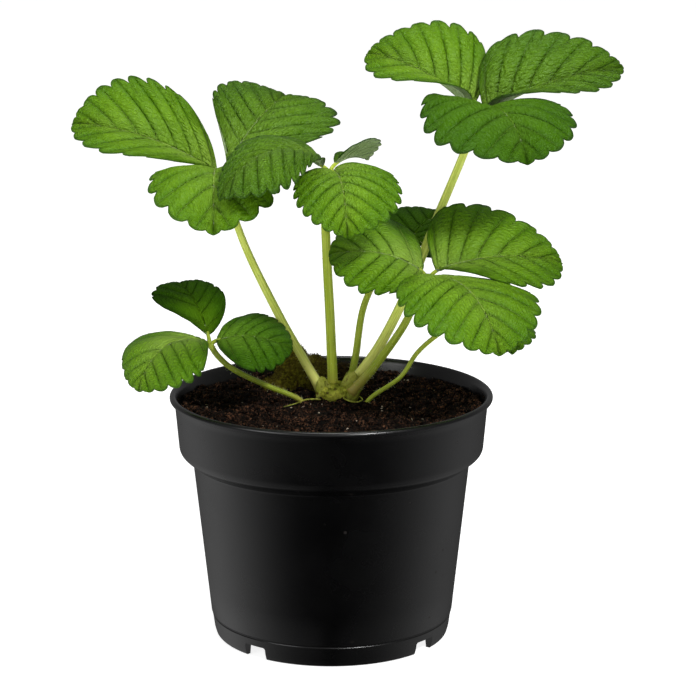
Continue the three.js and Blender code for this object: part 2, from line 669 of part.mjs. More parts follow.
// The clump of mossy peat behind the crown, left from the plug that the plant was raised in.
// It is highest at its left, and its bumps fall by a seeded draw.
const CLUMP_HEAPS = [
  { centre: [-14, 29], size: [8, 9, 14.5] },
  { centre: [-6, 28], size: [8, 10, 12] },
  { centre: [5.5, 29], size: [11, 8.5, 8] },
  { centre: [-20, 24], size: [7, 7, 6] },
];
const makeClump = (soil) => {
  const draw = drawer(3);
  const heap = ({ centre, size }) => {
    const blob = new THREE.IcosahedronGeometry(1, 3);
    const position = blob.attributes.position;
    const bumps = Array.from({ length: 16 }, () => ({
      way: new THREE.Vector3(draw() - 0.5, draw() - 0.5, draw() - 0.3).normalize(),
      high: 0.3 * (draw() - 0.5),
    }));
    const point = new THREE.Vector3();
    for (let i = 0; i < position.count; i += 1) {
      point.fromBufferAttribute(position, i).normalize();
      const swell = bumps.reduce((sum, bump) => sum + bump.high * Math.max(0, point.dot(bump.way)) ** 8, 1);
      point.multiplyScalar(swell);
      position.setXYZ(i, point.x * size[0], point.y * size[1], point.z * size[2]);
    }
    return toSolid(blob.translate(centre[0], centre[1], SOIL_LEVEL));
  };
  let solid = CLUMP_HEAPS.map(heap).reduce((sum, next) => sum.add(next));
  solid = solid.subtract(soil.translate([0, 0, GAP]));
  for (const space of stalkSpaces) solid = solid.subtract(space);
  return solid;
};

makePot();
const soil = makeSoil();
addNode('soil', toGeometry(soil), PEAT());
addNode('moss_clump', toGeometry(makeClump(soil)), MOSS());
addNode('crown', toGeometry(makeCrown()), CROWN_GREEN());
LEAVES.forEach(makeLeaf);

export default plant;
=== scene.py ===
"""The look of a young strawberry plant in a black nursery pot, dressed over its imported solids.

Sizes are in millimetres and angles in degrees, unless a name says otherwise. The origin is the
middle of the pot's base, +Z is up and -Y is the front.
"""

import logging
import math
from dataclasses import dataclass, field
from enum import Enum
from typing import Callable, Sequence

import bpy
from mathutils import Matrix, Vector, noise


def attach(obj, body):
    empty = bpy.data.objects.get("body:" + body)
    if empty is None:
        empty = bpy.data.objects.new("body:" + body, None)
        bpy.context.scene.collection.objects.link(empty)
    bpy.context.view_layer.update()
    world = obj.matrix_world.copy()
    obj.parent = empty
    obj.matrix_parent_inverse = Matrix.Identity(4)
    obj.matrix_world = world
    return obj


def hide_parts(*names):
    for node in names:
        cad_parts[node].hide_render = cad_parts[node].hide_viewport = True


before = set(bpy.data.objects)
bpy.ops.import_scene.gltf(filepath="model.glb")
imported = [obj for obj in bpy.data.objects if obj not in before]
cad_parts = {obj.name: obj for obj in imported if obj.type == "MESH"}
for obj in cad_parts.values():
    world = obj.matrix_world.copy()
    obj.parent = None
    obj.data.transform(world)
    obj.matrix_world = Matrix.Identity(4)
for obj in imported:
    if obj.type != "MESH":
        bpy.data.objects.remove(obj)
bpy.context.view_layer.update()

log = logging.getLogger("strawberry_plant")

MM = 0.001
TURN = 2.0 * math.pi
WHITE = (1.0, 1.0, 1.0)
PALE_TONE = 0.95  # crumbs with a tone above this are pale bits
Point = tuple[float, float, float]
Outline = list[tuple[float, float]]
Colour = tuple[float, float, float]
Object = bpy.types.Object
Material = bpy.types.Material
Socket = bpy.types.NodeSocket


# Small tools

class Drawer:
    """A small seeded generator, the same as the one that shaped the solids."""

    def __init__(self, seed: int) -> None:
        """Starts the row of draws at a seed."""
        self.state = seed

    def draw(self) -> float:
        """Returns the next number from 0 to 1."""
        self.state = (self.state * 1664525 + 1013904223) % 4294967296
        return self.state / 4294967296

    def between(self, low: float, high: float) -> float:
        """Returns the next number from low to high."""
        return low + (high - low) * self.draw()


def smooth(value: float, low: float, high: float) -> float:
    """Returns a soft step from 0 at low to 1 at high."""
    share = min(max((value - low) / (high - low), 0.0), 1.0)
    return share * share * (3.0 - 2.0 * share)


def paint(red: int, green: int, blue: int) -> Colour:
    """Returns a colour given as on a screen, from 0 to 255, as the linear one that shaders use."""
    return tuple((part / 255.0) ** 2.2 for part in (red, green, blue))


def start_fresh() -> None:
    """Leaves edit mode and deselects everything, so that the next operator acts on one piece."""
    if bpy.context.object and bpy.context.object.mode != "OBJECT":
        bpy.ops.object.mode_set(mode="OBJECT")
    bpy.ops.object.select_all(action="DESELECT")


def only(piece: Object) -> None:
    """Makes one piece the selected and active one."""
    start_fresh()
    piece.select_set(True)
    bpy.context.view_layer.objects.active = piece


def settle(piece: Object, merge: float = 0.0, outwards: bool = False) -> None:
    """Applies a piece's place and modifiers, and tidies its mesh.

    Args:
        piece: The object to finish.
        merge: Points closer than this are merged, where it is above zero.
        outwards: Whether to turn all faces outwards.
    """
    only(piece)
    bpy.ops.object.transform_apply(location=True, rotation=True, scale=True)
    if merge or outwards:
        bpy.ops.object.mode_set(mode="EDIT")
        bpy.ops.mesh.select_all(action="SELECT")
        if merge:
            bpy.ops.mesh.remove_doubles(threshold=merge * MM)
        if outwards:
            bpy.ops.mesh.normals_make_consistent(inside=False)
        bpy.ops.object.mode_set(mode="OBJECT")
    for modifier in list(piece.modifiers):
        bpy.ops.object.modifier_apply(modifier=modifier.name)


def join(pieces: Sequence[Object], name: str) -> Object:
    """Joins pieces into the first one.

    Args:
        pieces: The objects to join.
        name: The joined object's name.

    Returns:
        The joined object.
    """
    only(pieces[0])
    for piece in pieces[1:]:
        piece.select_set(True)
    bpy.ops.object.join()
    pieces[0].name = name
    return pieces[0]


def shaped_grid(
    name: str,
    columns: int,
    rows: int,
    place: Callable[[int, int], Vector],
    mark: Callable[[int, int], tuple[float, float]],
) -> Object:
    """Adds a flat grid and lays it over a curved surface.

    Args:
        name: The object's name.
        columns: How many faces lie side by side.
        rows: How many faces lie from the start to the end.
        place: Gives the place of the grid's point in a column and row, in millimetres.
        mark: Gives the same point's place on the piece's own UV map.

    Returns:
        The new object.
    """
    start_fresh()
    bpy.ops.mesh.primitive_grid_add(x_subdivisions=columns, y_subdivisions=rows, size=2.0)
    piece = bpy.context.object
    piece.name = name
    mesh = piece.data
    spots = []
    for vertex in mesh.vertices:
        column = round((vertex.co.x + 1.0) / 2.0 * columns)
        row = round((vertex.co.y + 1.0) / 2.0 * rows)
        spots.append((column, row))
        vertex.co = place(column, row) * MM
    marks = mesh.uv_layers.active.data
    for loop in mesh.loops:
        marks[loop.index].uv = mark(*spots[loop.vertex_index])
    return piece


def ring_form(name: str, profile: Sequence[tuple[float, float]], sides: int) -> Object:
    """Draws a round form up from a circle, ring by ring.

    Args:
        name: The object's name.
        profile: The radius and height of each ring, in order along the outline.
        sides: How many sides each ring has.

    Returns:
        The new closed object.
    """
    start_fresh()
    radius, height = profile[0]
    bpy.ops.mesh.primitive_circle_add(
        vertices=sides, radius=radius * MM, location=(0.0, 0.0, height * MM), fill_type="NGON"
    )
    piece = bpy.context.object
    piece.name = name
    bpy.ops.object.transform_apply(location=True, rotation=True, scale=True)
    bpy.ops.object.mode_set(mode="EDIT")
    bpy.ops.mesh.select_all(action="SELECT")
    for next_radius, next_height in profile[1:]:
        rise = (0.0, 0.0, (next_height - height) * MM)
        bpy.ops.mesh.extrude_region_move(TRANSFORM_OT_translate={"value": rise})
        grow = next_radius / radius
        bpy.ops.transform.resize(value=(grow, grow, 1.0))
        radius, height = next_radius, next_height
    bpy.ops.object.mode_set(mode="OBJECT")
    return piece


def placed(spot: Vector, turn: Matrix, stretch: Sequence[float]) -> Matrix:
    """Returns the place of one copy, from its spot in metres, its turn and its stretch."""
    return Matrix.Translation(spot) @ turn @ Matrix.Diagonal((*stretch, 1.0))


def tipped(spin: float, tip: float) -> Matrix:
    """Returns a turn that tips over first and then spins, in radians."""
    return Matrix.Rotation(spin, 4, "Z") @ Matrix.Rotation(tip, 4, "X")


def pointing(way: Vector) -> Matrix:
    """Returns the turn that points a shape's top one way."""
    return way.to_track_quat("Z", "Y").to_matrix().to_4x4()


def scatter(name: str, pattern: Object, places: Sequence[Matrix], tones: Sequence[float]) -> Object:
    """Repeats one small shape many times in a single mesh.

    Args:
        name: The new object's name.
        pattern: The shape to repeat. It is removed afterwards.
        places: Where each copy goes, in metres.
        tones: A number for each copy that its colour reads.

    Returns:
        The new object.
    """
    points = [vertex.co.copy() for vertex in pattern.data.vertices]
    shapes = [tuple(face.vertices) for face in pattern.data.polygons]
    vertices: list[Vector] = []
    faces: list[tuple[int, ...]] = []
    shades: list[float] = []
    for matrix, tone in zip(places, tones):
        first = len(vertices)
        vertices.extend(matrix @ point for point in points)
        faces.extend(tuple(first + corner for corner in shape) for shape in shapes)
        shades.extend([tone] * len(points))
    mesh = bpy.data.meshes.new(name)
    mesh.from_pydata(vertices, [], faces)
    mesh.attributes.new("tone", "FLOAT", "POINT").data.foreach_set("value", shades)
    piece = bpy.data.objects.new(name, mesh)
    bpy.context.collection.objects.link(piece)
    bpy.data.objects.remove(pattern)
    return piece


def smooth_route(route: Sequence[Point], steps: int) -> list[Vector]:
    """Returns points at even steps along a soft curve through a route."""
    stops = [Vector(point) for point in route]
    ends = [stops[0] * 2 - stops[1], *stops, stops[-1] * 2 - stops[-2]]
    curve: list[Vector] = []
    for i in range(len(stops) - 1):
        a, b, c, d = ends[i:i + 4]
        for k in range(24):
            u = k / 24.0
            bend = (a * -1 + b * 3 - c * 3 + d) * u ** 3 + (a * 2 - b * 5 + c * 4 - d) * u ** 2
            curve.append((bend + (c - a) * u + b * 2) * 0.5)
    curve.append(stops[-1])
    lengths = [0.0]
    for before, after in zip(curve, curve[1:]):
        lengths.append(lengths[-1] + (after - before).length)
    even: list[Vector] = []
    k = 0
    for step in range(steps + 1):
        goal = lengths[-1] * step / steps
        while k < len(curve) - 2 and lengths[k + 1] < goal:
            k += 1
        share = (goal - lengths[k]) / max(lengths[k + 1] - lengths[k], 1e-9)
        even.append(curve[k].lerp(curve[k + 1], min(share, 1.0)))
    return even


def tube(
    name: str,
    path: Sequence[Vector],
    radius: Callable[[float, float], float],
    facing: Vector,
    sides: int,
) -> Object:
    """Sweeps a closed section along a path.

    Args:
        name: The object's name.
        path: The middle of the tube, from its foot to its top.
        radius: Gives the radius at a share of the length and an angle from the facing side.
        facing: The direction that angle zero faces.
        sides: How many sides the section has.

    Returns:
        The new closed object. Its UV map holds the angle, as a share of a turn, and the length.
    """
    last = len(path) - 1
    runs = [path[min(i + 1, last)] - path[max(i - 1, 0)] for i in range(last + 1)]
    turns = []
    for run in runs:
        along = run.normalized()
        out = (facing - along * facing.dot(along)).normalized()
        turns.append((out, along.cross(out)))

    def place(column: int, row: int) -> Vector:
        """Puts a point on its ring. The first and last rows close the ends."""
        k = min(max(row - 1, 0), last)
        if row in (0, last + 2):
            return path[k]
        angle = TURN * (column % sides) / sides
        out, side = turns[k]
        reach = radius(k / last, angle)
        return path[k] + (out * math.cos(angle) + side * math.sin(angle)) * reach

    def mark(column: int, row: int) -> tuple[float, float]:
        """Marks the point's turn and its share of the length."""
        return column / sides, min(max(row - 1, 0), last) / last

    piece = shaped_grid(name, sides, last + 2, place, mark)
    settle(piece, merge=0.002)
    bpy.ops.object.shade_smooth()
    return piece


# Node sheets

class Sheet:
    """A node tree with short ways to add and join nodes."""

    def __init__(self, tree: bpy.types.NodeTree) -> None:
        """Takes the tree to work on."""
        self.tree = tree

    def node(self, kind: str, **settings: object) -> bpy.types.Node:
        """Adds a node and sets its own settings."""
        made = self.tree.nodes.new(kind)
        for name, value in settings.items():
            setattr(made, name, value)
        return made

    def feed(self, socket: Socket, value: object) -> None:
        """Links a socket to another, or sets it to a value."""
        if isinstance(value, bpy.types.NodeSocket):
            self.tree.links.new(value, socket)
        elif socket.type == "RGBA" and isinstance(value, tuple) and len(value) == 3:
            socket.default_value = (*value, 1.0)
        else:
            socket.default_value = value

    def math(self, operation: str, *values: object) -> Socket:
        """Adds a sum and returns its result."""
        made = self.node("ShaderNodeMath", operation=operation)
        for socket, value in zip(made.inputs, values):
            self.feed(socket, value)
        return made.outputs[0]

    def parts(self, vector: object) -> Sequence[Socket]:
        """Splits a vector and returns its x, y and z."""
        made = self.node("ShaderNodeSeparateXYZ")
        self.feed(made.inputs[0], vector)
        return tuple(made.outputs)

    def vector_math(self, operation: str, first: object, second: object) -> Socket:
        """Adds a sum of two vectors and returns its result."""
        made = self.node("ShaderNodeVectorMath", operation=operation)
        self.feed(made.inputs[0], first)
        self.feed(made.inputs[1], second)
        return made.outputs[0]

    def step(self, value: object, low: object, high: object, start: float = 0.0, end: float = 1.0) -> Socket:
        """Maps a value softly from one range to another."""
        made = self.node("ShaderNodeMapRange", interpolation_type="SMOOTHSTEP")
        names = ("Value", "From Min", "From Max", "To Min", "To Max")
        for name, given in zip(names, (value, low, high, start, end)):
            self.feed(made.inputs[name], given)
        return made.outputs["Result"]

    def inside(self, value: object, low: tuple[float, float], high: tuple[float, float]) -> Socket:
        """Returns 1 between two soft edges and 0 outside them."""
        return self.math("MULTIPLY", self.step(value, *low), self.step(value, *high, 1.0, 0.0))

    def mix(self, share: object, first: object, second: object) -> Socket:
        """Mixes two colours."""
        made = self.node("ShaderNodeMix", data_type="RGBA")
        self.feed(made.inputs["Factor"], share)
        self.feed(made.inputs[6], first)
        self.feed(made.inputs[7], second)
        return made.outputs[2]

    def noise(self, vector: object, scale: object, detail: float = 3.0, rough: float = 0.55) -> Socket:
        """Adds a cloud pattern and returns its value."""
        made = self.node("ShaderNodeTexNoise")
        names = ("Vector", "Scale", "Detail", "Roughness")
        for name, value in zip(names, (vector, scale, detail, rough)):
            self.feed(made.inputs[name], value)
        return made.outputs[0]

    def cells(self, vector: object, scale: object, feature: str, output: str = "Distance") -> Socket:
        """Adds a cell pattern and returns one of its outputs."""
        made = self.node("ShaderNodeTexVoronoi", feature=feature)
        self.feed(made.inputs["Vector"], vector)
        self.feed(made.inputs["Scale"], scale)
        return made.outputs[output]

    def bump(self, height: object, depth_mm: float, strength: float = 1.0, normal: object = None) -> Socket:
        """Adds a bump of a real depth and returns the normal."""
        made = self.node("ShaderNodeBump")
        made.inputs["Strength"].default_value = strength
        made.inputs["Distance"].default_value = depth_mm * MM
        self.feed(made.inputs["Height"], height)
        if normal is not None:
            self.feed(made.inputs["Normal"], normal)
        return made.outputs["Normal"]

    def group(self, tree: bpy.types.NodeTree, **values: object) -> bpy.types.Node:
        """Places a shared group and feeds its inputs by name, with _ for a space."""
        made = self.node("ShaderNodeGroup", node_tree=tree)
        for name, value in values.items():
            self.feed(made.inputs[name.replace("_", " ")], value)
        return made


def shared_group(
    name: str,
    inputs: Sequence[tuple[str, str, float]],
    outputs: Sequence[str],
    fill: Callable[[Sheet, dict[str, Socket]], dict[str, Socket]],
) -> bpy.types.NodeTree:
    """Makes a shader node group.

    Args:
        name: The group's name.
        inputs: The name, socket kind and starting value of each input.
        outputs: The names of its outputs, each a plain number.
        fill: Adds the nodes, given the inputs, and returns the outputs.

    Returns:
        The group's tree.
    """
    tree = bpy.data.node_groups.new(name, "ShaderNodeTree")
    for label, kind, value in inputs:
        socket = tree.interface.new_socket(label, in_out="INPUT", socket_type=kind)
        if kind == "NodeSocketFloat":
            socket.default_value = value
    for label in outputs:
        tree.interface.new_socket(label, in_out="OUTPUT", socket_type="NodeSocketFloat")
    sheet = Sheet(tree)
    entry = sheet.node("NodeGroupInput")
    leave = sheet.node("NodeGroupOutput")
    made = fill(sheet, {label: entry.outputs[label] for label, _, _ in inputs})
    for label in outputs:
        sheet.feed(leave.inputs[label], made[label])
    return tree


class Effects:
    """The patterns that more than one finish uses."""

    def __init__(self) -> None:
        """Builds each group once."""
        vector = ("Vector", "NodeSocketVector", 0.0)
        scale = ("Scale", "NodeSocketFloat", 100.0)
        self.mottle = shared_group("mottle", [vector, scale], ["Mask"], self.fill_mottle)
        self.net = shared_group("net_veins", [vector], ["Line", "Swell"], self.fill_net)
        marks = ["Rib", "Side", "Valley", "Margin", "Outer", "Swell", "Heart"]
        self.veins = shared_group("blade_veins", [vector], marks, self.fill_veins)
        amount = ("Amount", "NodeSocketFloat", 0.3)
        self.specks = shared_group("specks", [vector, scale, amount], ["Mask"], self.fill_specks)

    @staticmethod
    def fill_mottle(sheet: Sheet, given: dict[str, Socket]) -> dict[str, Socket]:
        """Soft uneven patches."""
        cloud = sheet.noise(given["Vector"], given["Scale"], 4.0, 0.6)
        return {"Mask": sheet.step(cloud, 0.32, 0.68)}

    @staticmethod
    def fill_net(sheet: Sheet, given: dict[str, Socket]) -> dict[str, Socket]:
        """The net of small veins, which run like rungs from one side vein to the next."""
        drift = sheet.node("ShaderNodeTexNoise")
        sheet.feed(drift.inputs["Vector"], given["Vector"])
        drift.inputs["Scale"].default_value = 3.0
        shift = sheet.vector_math("MULTIPLY", drift.outputs["Color"], (0.9, 0.9, 0.9))
        stretch = sheet.vector_math("MULTIPLY", given["Vector"], (15.0, 2.6, 1.0))
        moved = sheet.vector_math("ADD", stretch, shift)
        coarse = sheet.cells(moved, 1.0, "DISTANCE_TO_EDGE")
        fine = sheet.cells(moved, 2.6, "DISTANCE_TO_EDGE")
        lines = sheet.step(coarse, 0.0, 0.12, 1.0, 0.0)
        hairlines = sheet.step(fine, 0.0, 0.12, 0.4, 0.0)
        swell = sheet.step(coarse, 0.0, 0.4)
        return {
            "Line": sheet.math("MAXIMUM", lines, hairlines),
            "Swell": sheet.math("MULTIPLY_ADD", sheet.step(fine, 0.0, 0.35), 0.25, swell),
        }

    @staticmethod
    def fill_veins(sheet: Sheet, given: dict[str, Socket]) -> dict[str, Socket]:
        """The midrib, the side veins that end in the teeth, the thin margin, painted shade in the valleys by
        the veins and towards the edges, and a painted sheen towards the base and the midrib.
        """
        x, y, _ = sheet.parts(given["Vector"])
        across = sheet.math("ABSOLUTE", x)
        beat = sheet.math("FRACT", y)
        lean = sheet.math("SUBTRACT", beat, 0.5)
        off = sheet.math("ABSOLUTE", lean)
        width = sheet.step(across, 0.0, 1.0, 0.06, 0.024)
        side = sheet.step(off, sheet.math("MULTIPLY", width, 0.2), width, 1.0, 0.0)
        valley = sheet.step(off, width, sheet.math("MULTIPLY", width, 3.5), 1.0, 0.0)
        fade = sheet.step(across, 0.8, 0.98, 1.0, 0.3)
        low = sheet.step(y, 0.2, 4.5, 1.0, 0.0)
        near = sheet.step(across, 0.0, 0.75, 1.0, 0.0)
        return {
            "Rib": sheet.step(across, 0.0, 0.03, 1.0, 0.0),
            "Side": sheet.math("MULTIPLY", side, fade),
            # Painted shade in the valleys beside the veins.
            "Valley": sheet.math("MULTIPLY", valley, fade),
            "Margin": sheet.step(across, 0.94, 0.99),
            # Painted shade: darker towards the outer edges.
            "Outer": sheet.step(across, 0.45, 1.0),
            # Dark at the veins and light mid-panel, used for painted shade.
            "Swell": sheet.step(off, 0.0, 0.3),
            # Painted sheen: paler towards the base and the midrib.
            "Heart": sheet.math("MULTIPLY", near, sheet.math("MULTIPLY_ADD", low, 0.8, 0.2)),
        }

    @staticmethod
    def fill_specks(sheet: Sheet, given: dict[str, Socket]) -> dict[str, Socket]:
        """Scattered small grains."""
        near = sheet.cells(given["Vector"], given["Scale"], "F1")
        pick = sheet.cells(given["Vector"], given["Scale"], "F1", "Color")
        chance = sheet.math("LESS_THAN", pick, given["Amount"])
        grain = sheet.step(near, 0.12, 0.3, 1.0, 0.0)
        return {"Mask": sheet.math("MULTIPLY", chance, grain)}


EFFECTS = Effects()


class FinishSheet(Sheet):
    """The node sheet of one material, with short ways to do what most finishes do."""

    def __init__(self, name: str) -> None:
        """Makes the material."""
        self.material = bpy.data.materials.new(name)
        self.material.use_nodes = True
        super().__init__(self.material.node_tree)
        self.shader = self.tree.nodes["Principled BSDF"]

    def place(self) -> Socket:
        """Returns the place on the object, in metres."""
        return self.node("ShaderNodeTexCoord").outputs["Object"]

    def own_map(self) -> Socket:
        """Returns the piece's own UV map."""
        return self.node("ShaderNodeUVMap", uv_map="UVMap").outputs[0]

    def tone(self) -> Socket:
        """Returns the number that each crumb or leaf of a scattered piece has of its own."""
        return self.node("ShaderNodeAttribute", attribute_name="tone").outputs["Fac"]

    def mottle(self, scale: float) -> Socket:
        """Returns soft uneven patches, finer with a larger scale."""
        return self.group(EFFECTS.mottle, Vector=self.place(), Scale=scale).outputs["Mask"]

    def specks(self, scale: float, amount: float) -> Socket:
        """Returns scattered grains on a share of the surface."""
        made = self.group(EFFECTS.specks, Vector=self.place(), Scale=scale, Amount=amount)
        return made.outputs["Mask"]

    def wash(self, body: object, mask: Socket, amount: float, colour: Colour) -> Socket:
        """Lays a colour over the body where the mask is, at most as strong as the amount."""
        return self.mix(self.math("MULTIPLY", mask, amount), body, colour)

    def finish(self, body: object, roughness: object, normal: object, **settings: float) -> Material:
        """Feeds the shader.

        Args:
            body: Its base colour.
            roughness: Its roughness.
            normal: Its normal, or None for the plain one.
            settings: Its other inputs by name, with _ for a space.

        Returns:
            The finished material.
        """
        self.feed(self.shader.inputs["Base Color"], body)
        self.feed(self.shader.inputs["Roughness"], roughness)
        if normal is not None:
            self.feed(self.shader.inputs["Normal"], normal)
        for name, value in settings.items():
            self.shader.inputs[name.replace("_", " ")].default_value = value
        return self.material


@dataclass(frozen=True)
class LeafFinish:
    """The upper face of a leaf: green panels between sunken veins, with a soft sheen. Its colour holds
    painted shade in the valleys by the veins and towards the edges, and a painted sheen towards the base.
    """

    name: str
    light: Colour
    deep: Colour
    # Darkens the margin, and the valleys beside the veins as painted shade.
    vein: Colour
    # The pale colour of the veins, and of a painted sheen towards the base.
    pale_vein_and_sheen: Colour
    roughness: float = 0.36
    net_depth: float = 0.5
    shine: float = 0.18

    VEIN_DEPTH = 0.28

    def make(self) -> Material:
        """Builds the material."""
        sheet = FinishSheet(self.name)
        veins = sheet.group(EFFECTS.veins, Vector=sheet.own_map()).outputs
        net = sheet.group(EFFECTS.net, Vector=sheet.own_map()).outputs
        grain = sheet.mottle(800.0)
        soft = sheet.math("MULTIPLY_ADD", sheet.mottle(60.0), 0.4, 0.2)
        # Darker where the panels dip to the veins: painted shade, over the leaf's own uneven tone.
        body = sheet.mix(sheet.math("MULTIPLY_ADD", veins["Swell"], 0.36, soft), self.deep, self.light)
        pale_line = sheet.math("MAXIMUM", sheet.math("MULTIPLY", veins["Side"], 0.6), veins["Rib"])
        for mask, amount, colour in (
            (grain, 0.2, self.deep),
            (net["Line"], 0.3, self.deep),
            # Painted shade: darker towards the outer edges.
            (veins["Outer"], 0.4, self.deep),
            # Painted sheen towards the base and the midrib.
            (veins["Heart"], 0.62, self.pale_vein_and_sheen),
            # Painted shade in the valleys beside the veins.
            (veins["Valley"], 0.16, self.vein),
            (pale_line, 0.75, self.pale_vein_and_sheen),
            (veins["Margin"], 0.65, self.vein),
        ):
            body = sheet.wash(body, mask, amount, colour)
        small = sheet.math("MULTIPLY_ADD", net["Swell"], 0.8, sheet.math("MULTIPLY", grain, 0.2))
        groove = sheet.math("MAXIMUM", veins["Side"], veins["Rib"])
        ridge = sheet.math("SUBTRACT", 1.0, groove)
        normal = sheet.bump(ridge, self.VEIN_DEPTH, 1.0, sheet.bump(small, self.net_depth))
        roughness = sheet.math("MULTIPLY_ADD", grain, 0.12, self.roughness)
        return sheet.finish(body, roughness, normal, Specular_IOR_Level=self.shine)


@dataclass(frozen=True)
class UndersideFinish:
    """The pale lower face of a leaf, with raised veins and a felt of short hairs."""

    name: str = "leaf_underside"
    body: Colour = paint(128, 154, 92)
    patch: Colour = paint(112, 142, 84)
    vein: Colour = paint(150, 174, 108)
    edge: Colour = paint(86, 110, 52)

    NET_DEPTH = 0.1
    VEIN_DEPTH = 0.3

    def make(self) -> Material:
        """Builds the material."""
        sheet = FinishSheet(self.name)
        veins = sheet.group(EFFECTS.veins, Vector=sheet.own_map()).outputs
        net = sheet.group(EFFECTS.net, Vector=sheet.own_map()).outputs
        body = sheet.wash(self.body, sheet.mottle(90.0), 0.3, self.patch)
        raised = sheet.math("MAXIMUM", veins["Side"], veins["Rib"])
        fine = sheet.math("MULTIPLY", net["Line"], 0.45)
        body = sheet.mix(sheet.math("MAXIMUM", fine, raised), body, self.vein)
        body = sheet.wash(body, veins["Margin"], 0.6, self.edge)
        normal = sheet.bump(raised, self.VEIN_DEPTH, 1.0, sheet.bump(net["Line"], self.NET_DEPTH))
        return sheet.finish(body, 0.62, normal, Sheen_Weight=0.25, Sheen_Roughness=0.5)


@dataclass(frozen=True)
class StalkFinish:
    """Smooth green stalk tissue with fine lengthwise fibres, paler or browner at its foot."""

    name: str
    body: Colour
    shade: Colour
    foot: Colour
    foot_share: float = 0.16
    fleck: Colour = paint(96, 92, 30)

    def make(self) -> Material:
        """Builds the material."""
        sheet = FinishSheet(self.name)
        way = sheet.own_map()
        fibres = sheet.noise(sheet.vector_math("MULTIPLY", way, (26.0, 3.0, 1.0)), 1.0, 4.0, 0.6)
        soft = sheet.math("MULTIPLY", sheet.mottle(120.0), 0.25)
        streak = sheet.math("MULTIPLY_ADD", sheet.step(fibres, 0.38, 0.64), 0.75, soft)
        body = sheet.mix(streak, self.body, self.shade)
        low = sheet.step(sheet.parts(way)[1], 0.0, self.foot_share, 1.0, 0.0)
        body = sheet.mix(low, body, self.foot)
        body = sheet.wash(body, sheet.specks(700.0, 0.12), 0.3, self.fleck)
        material = sheet.finish(
            body, 0.4, sheet.bump(fibres, 0.12, 0.7),
            Specular_IOR_Level=0.25, Subsurface_Weight=0.12, Subsurface_Scale=0.001,
        )
        sheet.shader.inputs["Subsurface Radius"].default_value = (0.6, 1.0, 0.3)
        return material


@dataclass(frozen=True)
class PotPlastic:
    """Black moulded plastic with a soft sheen, faint smears and dusty peat, most of it high up."""

    name: str = "black_plastic"
    body: Colour = (0.0005, 0.0005, 0.0006)
    smeared: Colour = (0.002, 0.002, 0.002)
    dust: Colour = paint(58, 50, 44)

    def make(self) -> Material:
        """Builds the material."""
        sheet = FinishSheet(self.name)
        place = sheet.place()
        smear = sheet.mottle(22.0)
        specks = sheet.specks(420.0, 0.1)
        high = sheet.step(sheet.parts(place)[2], 0.084, 0.092, 0.15, 0.6)
        body = sheet.wash(self.body, smear, 0.25, self.smeared)
        body = sheet.mix(sheet.math("MULTIPLY", specks, high), body, self.dust)
        rough = sheet.math("MULTIPLY_ADD", smear, 0.1, 0.2)
        rough = sheet.math("MULTIPLY_ADD", specks, 0.3, rough)
        normal = sheet.bump(sheet.noise(place, 1500.0, 2.0), 0.03, 0.5)
        return sheet.finish(body, rough, normal, Specular_IOR_Level=0.5)


@dataclass(frozen=True)
class PeatFinish:
    """Moist peat: almost black, with browner crumbs. Each crumb has a tone of its own."""

    name: str = "crumbly_peat"
    dark: Colour = (0.0018, 0.001, 0.0007)
    warm: Colour = paint(112, 78, 58)
    pale: Colour = paint(196, 180, 160)

    def make(self) -> Material:
        """Builds the material."""
        sheet = FinishSheet(self.name)
        tone = sheet.tone()
        fine = sheet.noise(sheet.place(), 1400.0, 4.0, 0.65)
        share = sheet.math("MULTIPLY_ADD", sheet.mottle(220.0), 0.4, tone)
        share = sheet.math("MULTIPLY", share, sheet.step(fine, 0.47, 0.66))
        body = sheet.mix(share, self.dark, self.warm)
        body = sheet.mix(sheet.step(tone, PALE_TONE, PALE_TONE + 0.02), body, self.pale)
        return sheet.finish(body, 0.9, sheet.bump(fine, 0.5), Specular_IOR_Level=0.12)


@dataclass(frozen=True)
class MossFinish:
    """Olive moss and blackish peat in one clump, mossy at its left."""

    name: str = "olive_moss"
    moss: Colour = paint(156, 150, 50)
    brown: Colour = paint(70, 54, 24)
    black: Colour = paint(12, 9, 6)

    def make(self) -> Material:
        """Builds the material."""
        sheet = FinishSheet(self.name)
        place = sheet.place()
        cloud = sheet.noise(place, 160.0, 4.0, 0.6)
        fine = sheet.noise(place, 1100.0, 4.0, 0.7)
        left = sheet.math("MULTIPLY_ADD", cloud, 0.03, sheet.parts(place)[0])
        mossy = sheet.step(left, 0.002, 0.018, 1.0, 0.0)
        body = sheet.mix(sheet.step(fine, 0.3, 0.7), self.black, self.brown)
        lush = sheet.math("MULTIPLY_ADD", sheet.tone(), 0.5, sheet.step(fine, 0.45, 0.7, -0.1, 0.6))
        body = sheet.mix(mossy, body, sheet.mix(lush, self.brown, self.moss))
        return sheet.finish(body, 0.9, sheet.bump(fine, 0.6), Specular_IOR_Level=0.15)


@dataclass(frozen=True)
class CrownFinish:
    """Pale green stem tissue with brown scars, or its papery sheaths. Both are soiled low down."""

    name: str
    body: Colour
    shade: Colour
    scar: Colour
    scars: float = 0.35
    soil: Colour = paint(40, 28, 18)

    def make(self) -> Material:
        """Builds the material."""
        sheet = FinishSheet(self.name)
        place = sheet.place()
        fine = sheet.noise(place, 900.0, 4.0, 0.65)
        body = sheet.mix(sheet.mottle(260.0), self.body, self.shade)
        body = sheet.mix(sheet.step(fine, 0.5, 0.3, 0.0, 0.6), body, self.scar)
        body = sheet.wash(body, sheet.specks(330.0, self.scars), 0.8, self.scar)
        height = sheet.math("MULTIPLY_ADD", fine, 0.006, sheet.parts(place)[2])
        body = sheet.mix(sheet.step(height, 0.0895, 0.0945, 0.9, 0.0), body, self.soil)
        return sheet.finish(body, 0.55, sheet.bump(fine, 0.6), Specular_IOR_Level=0.25)


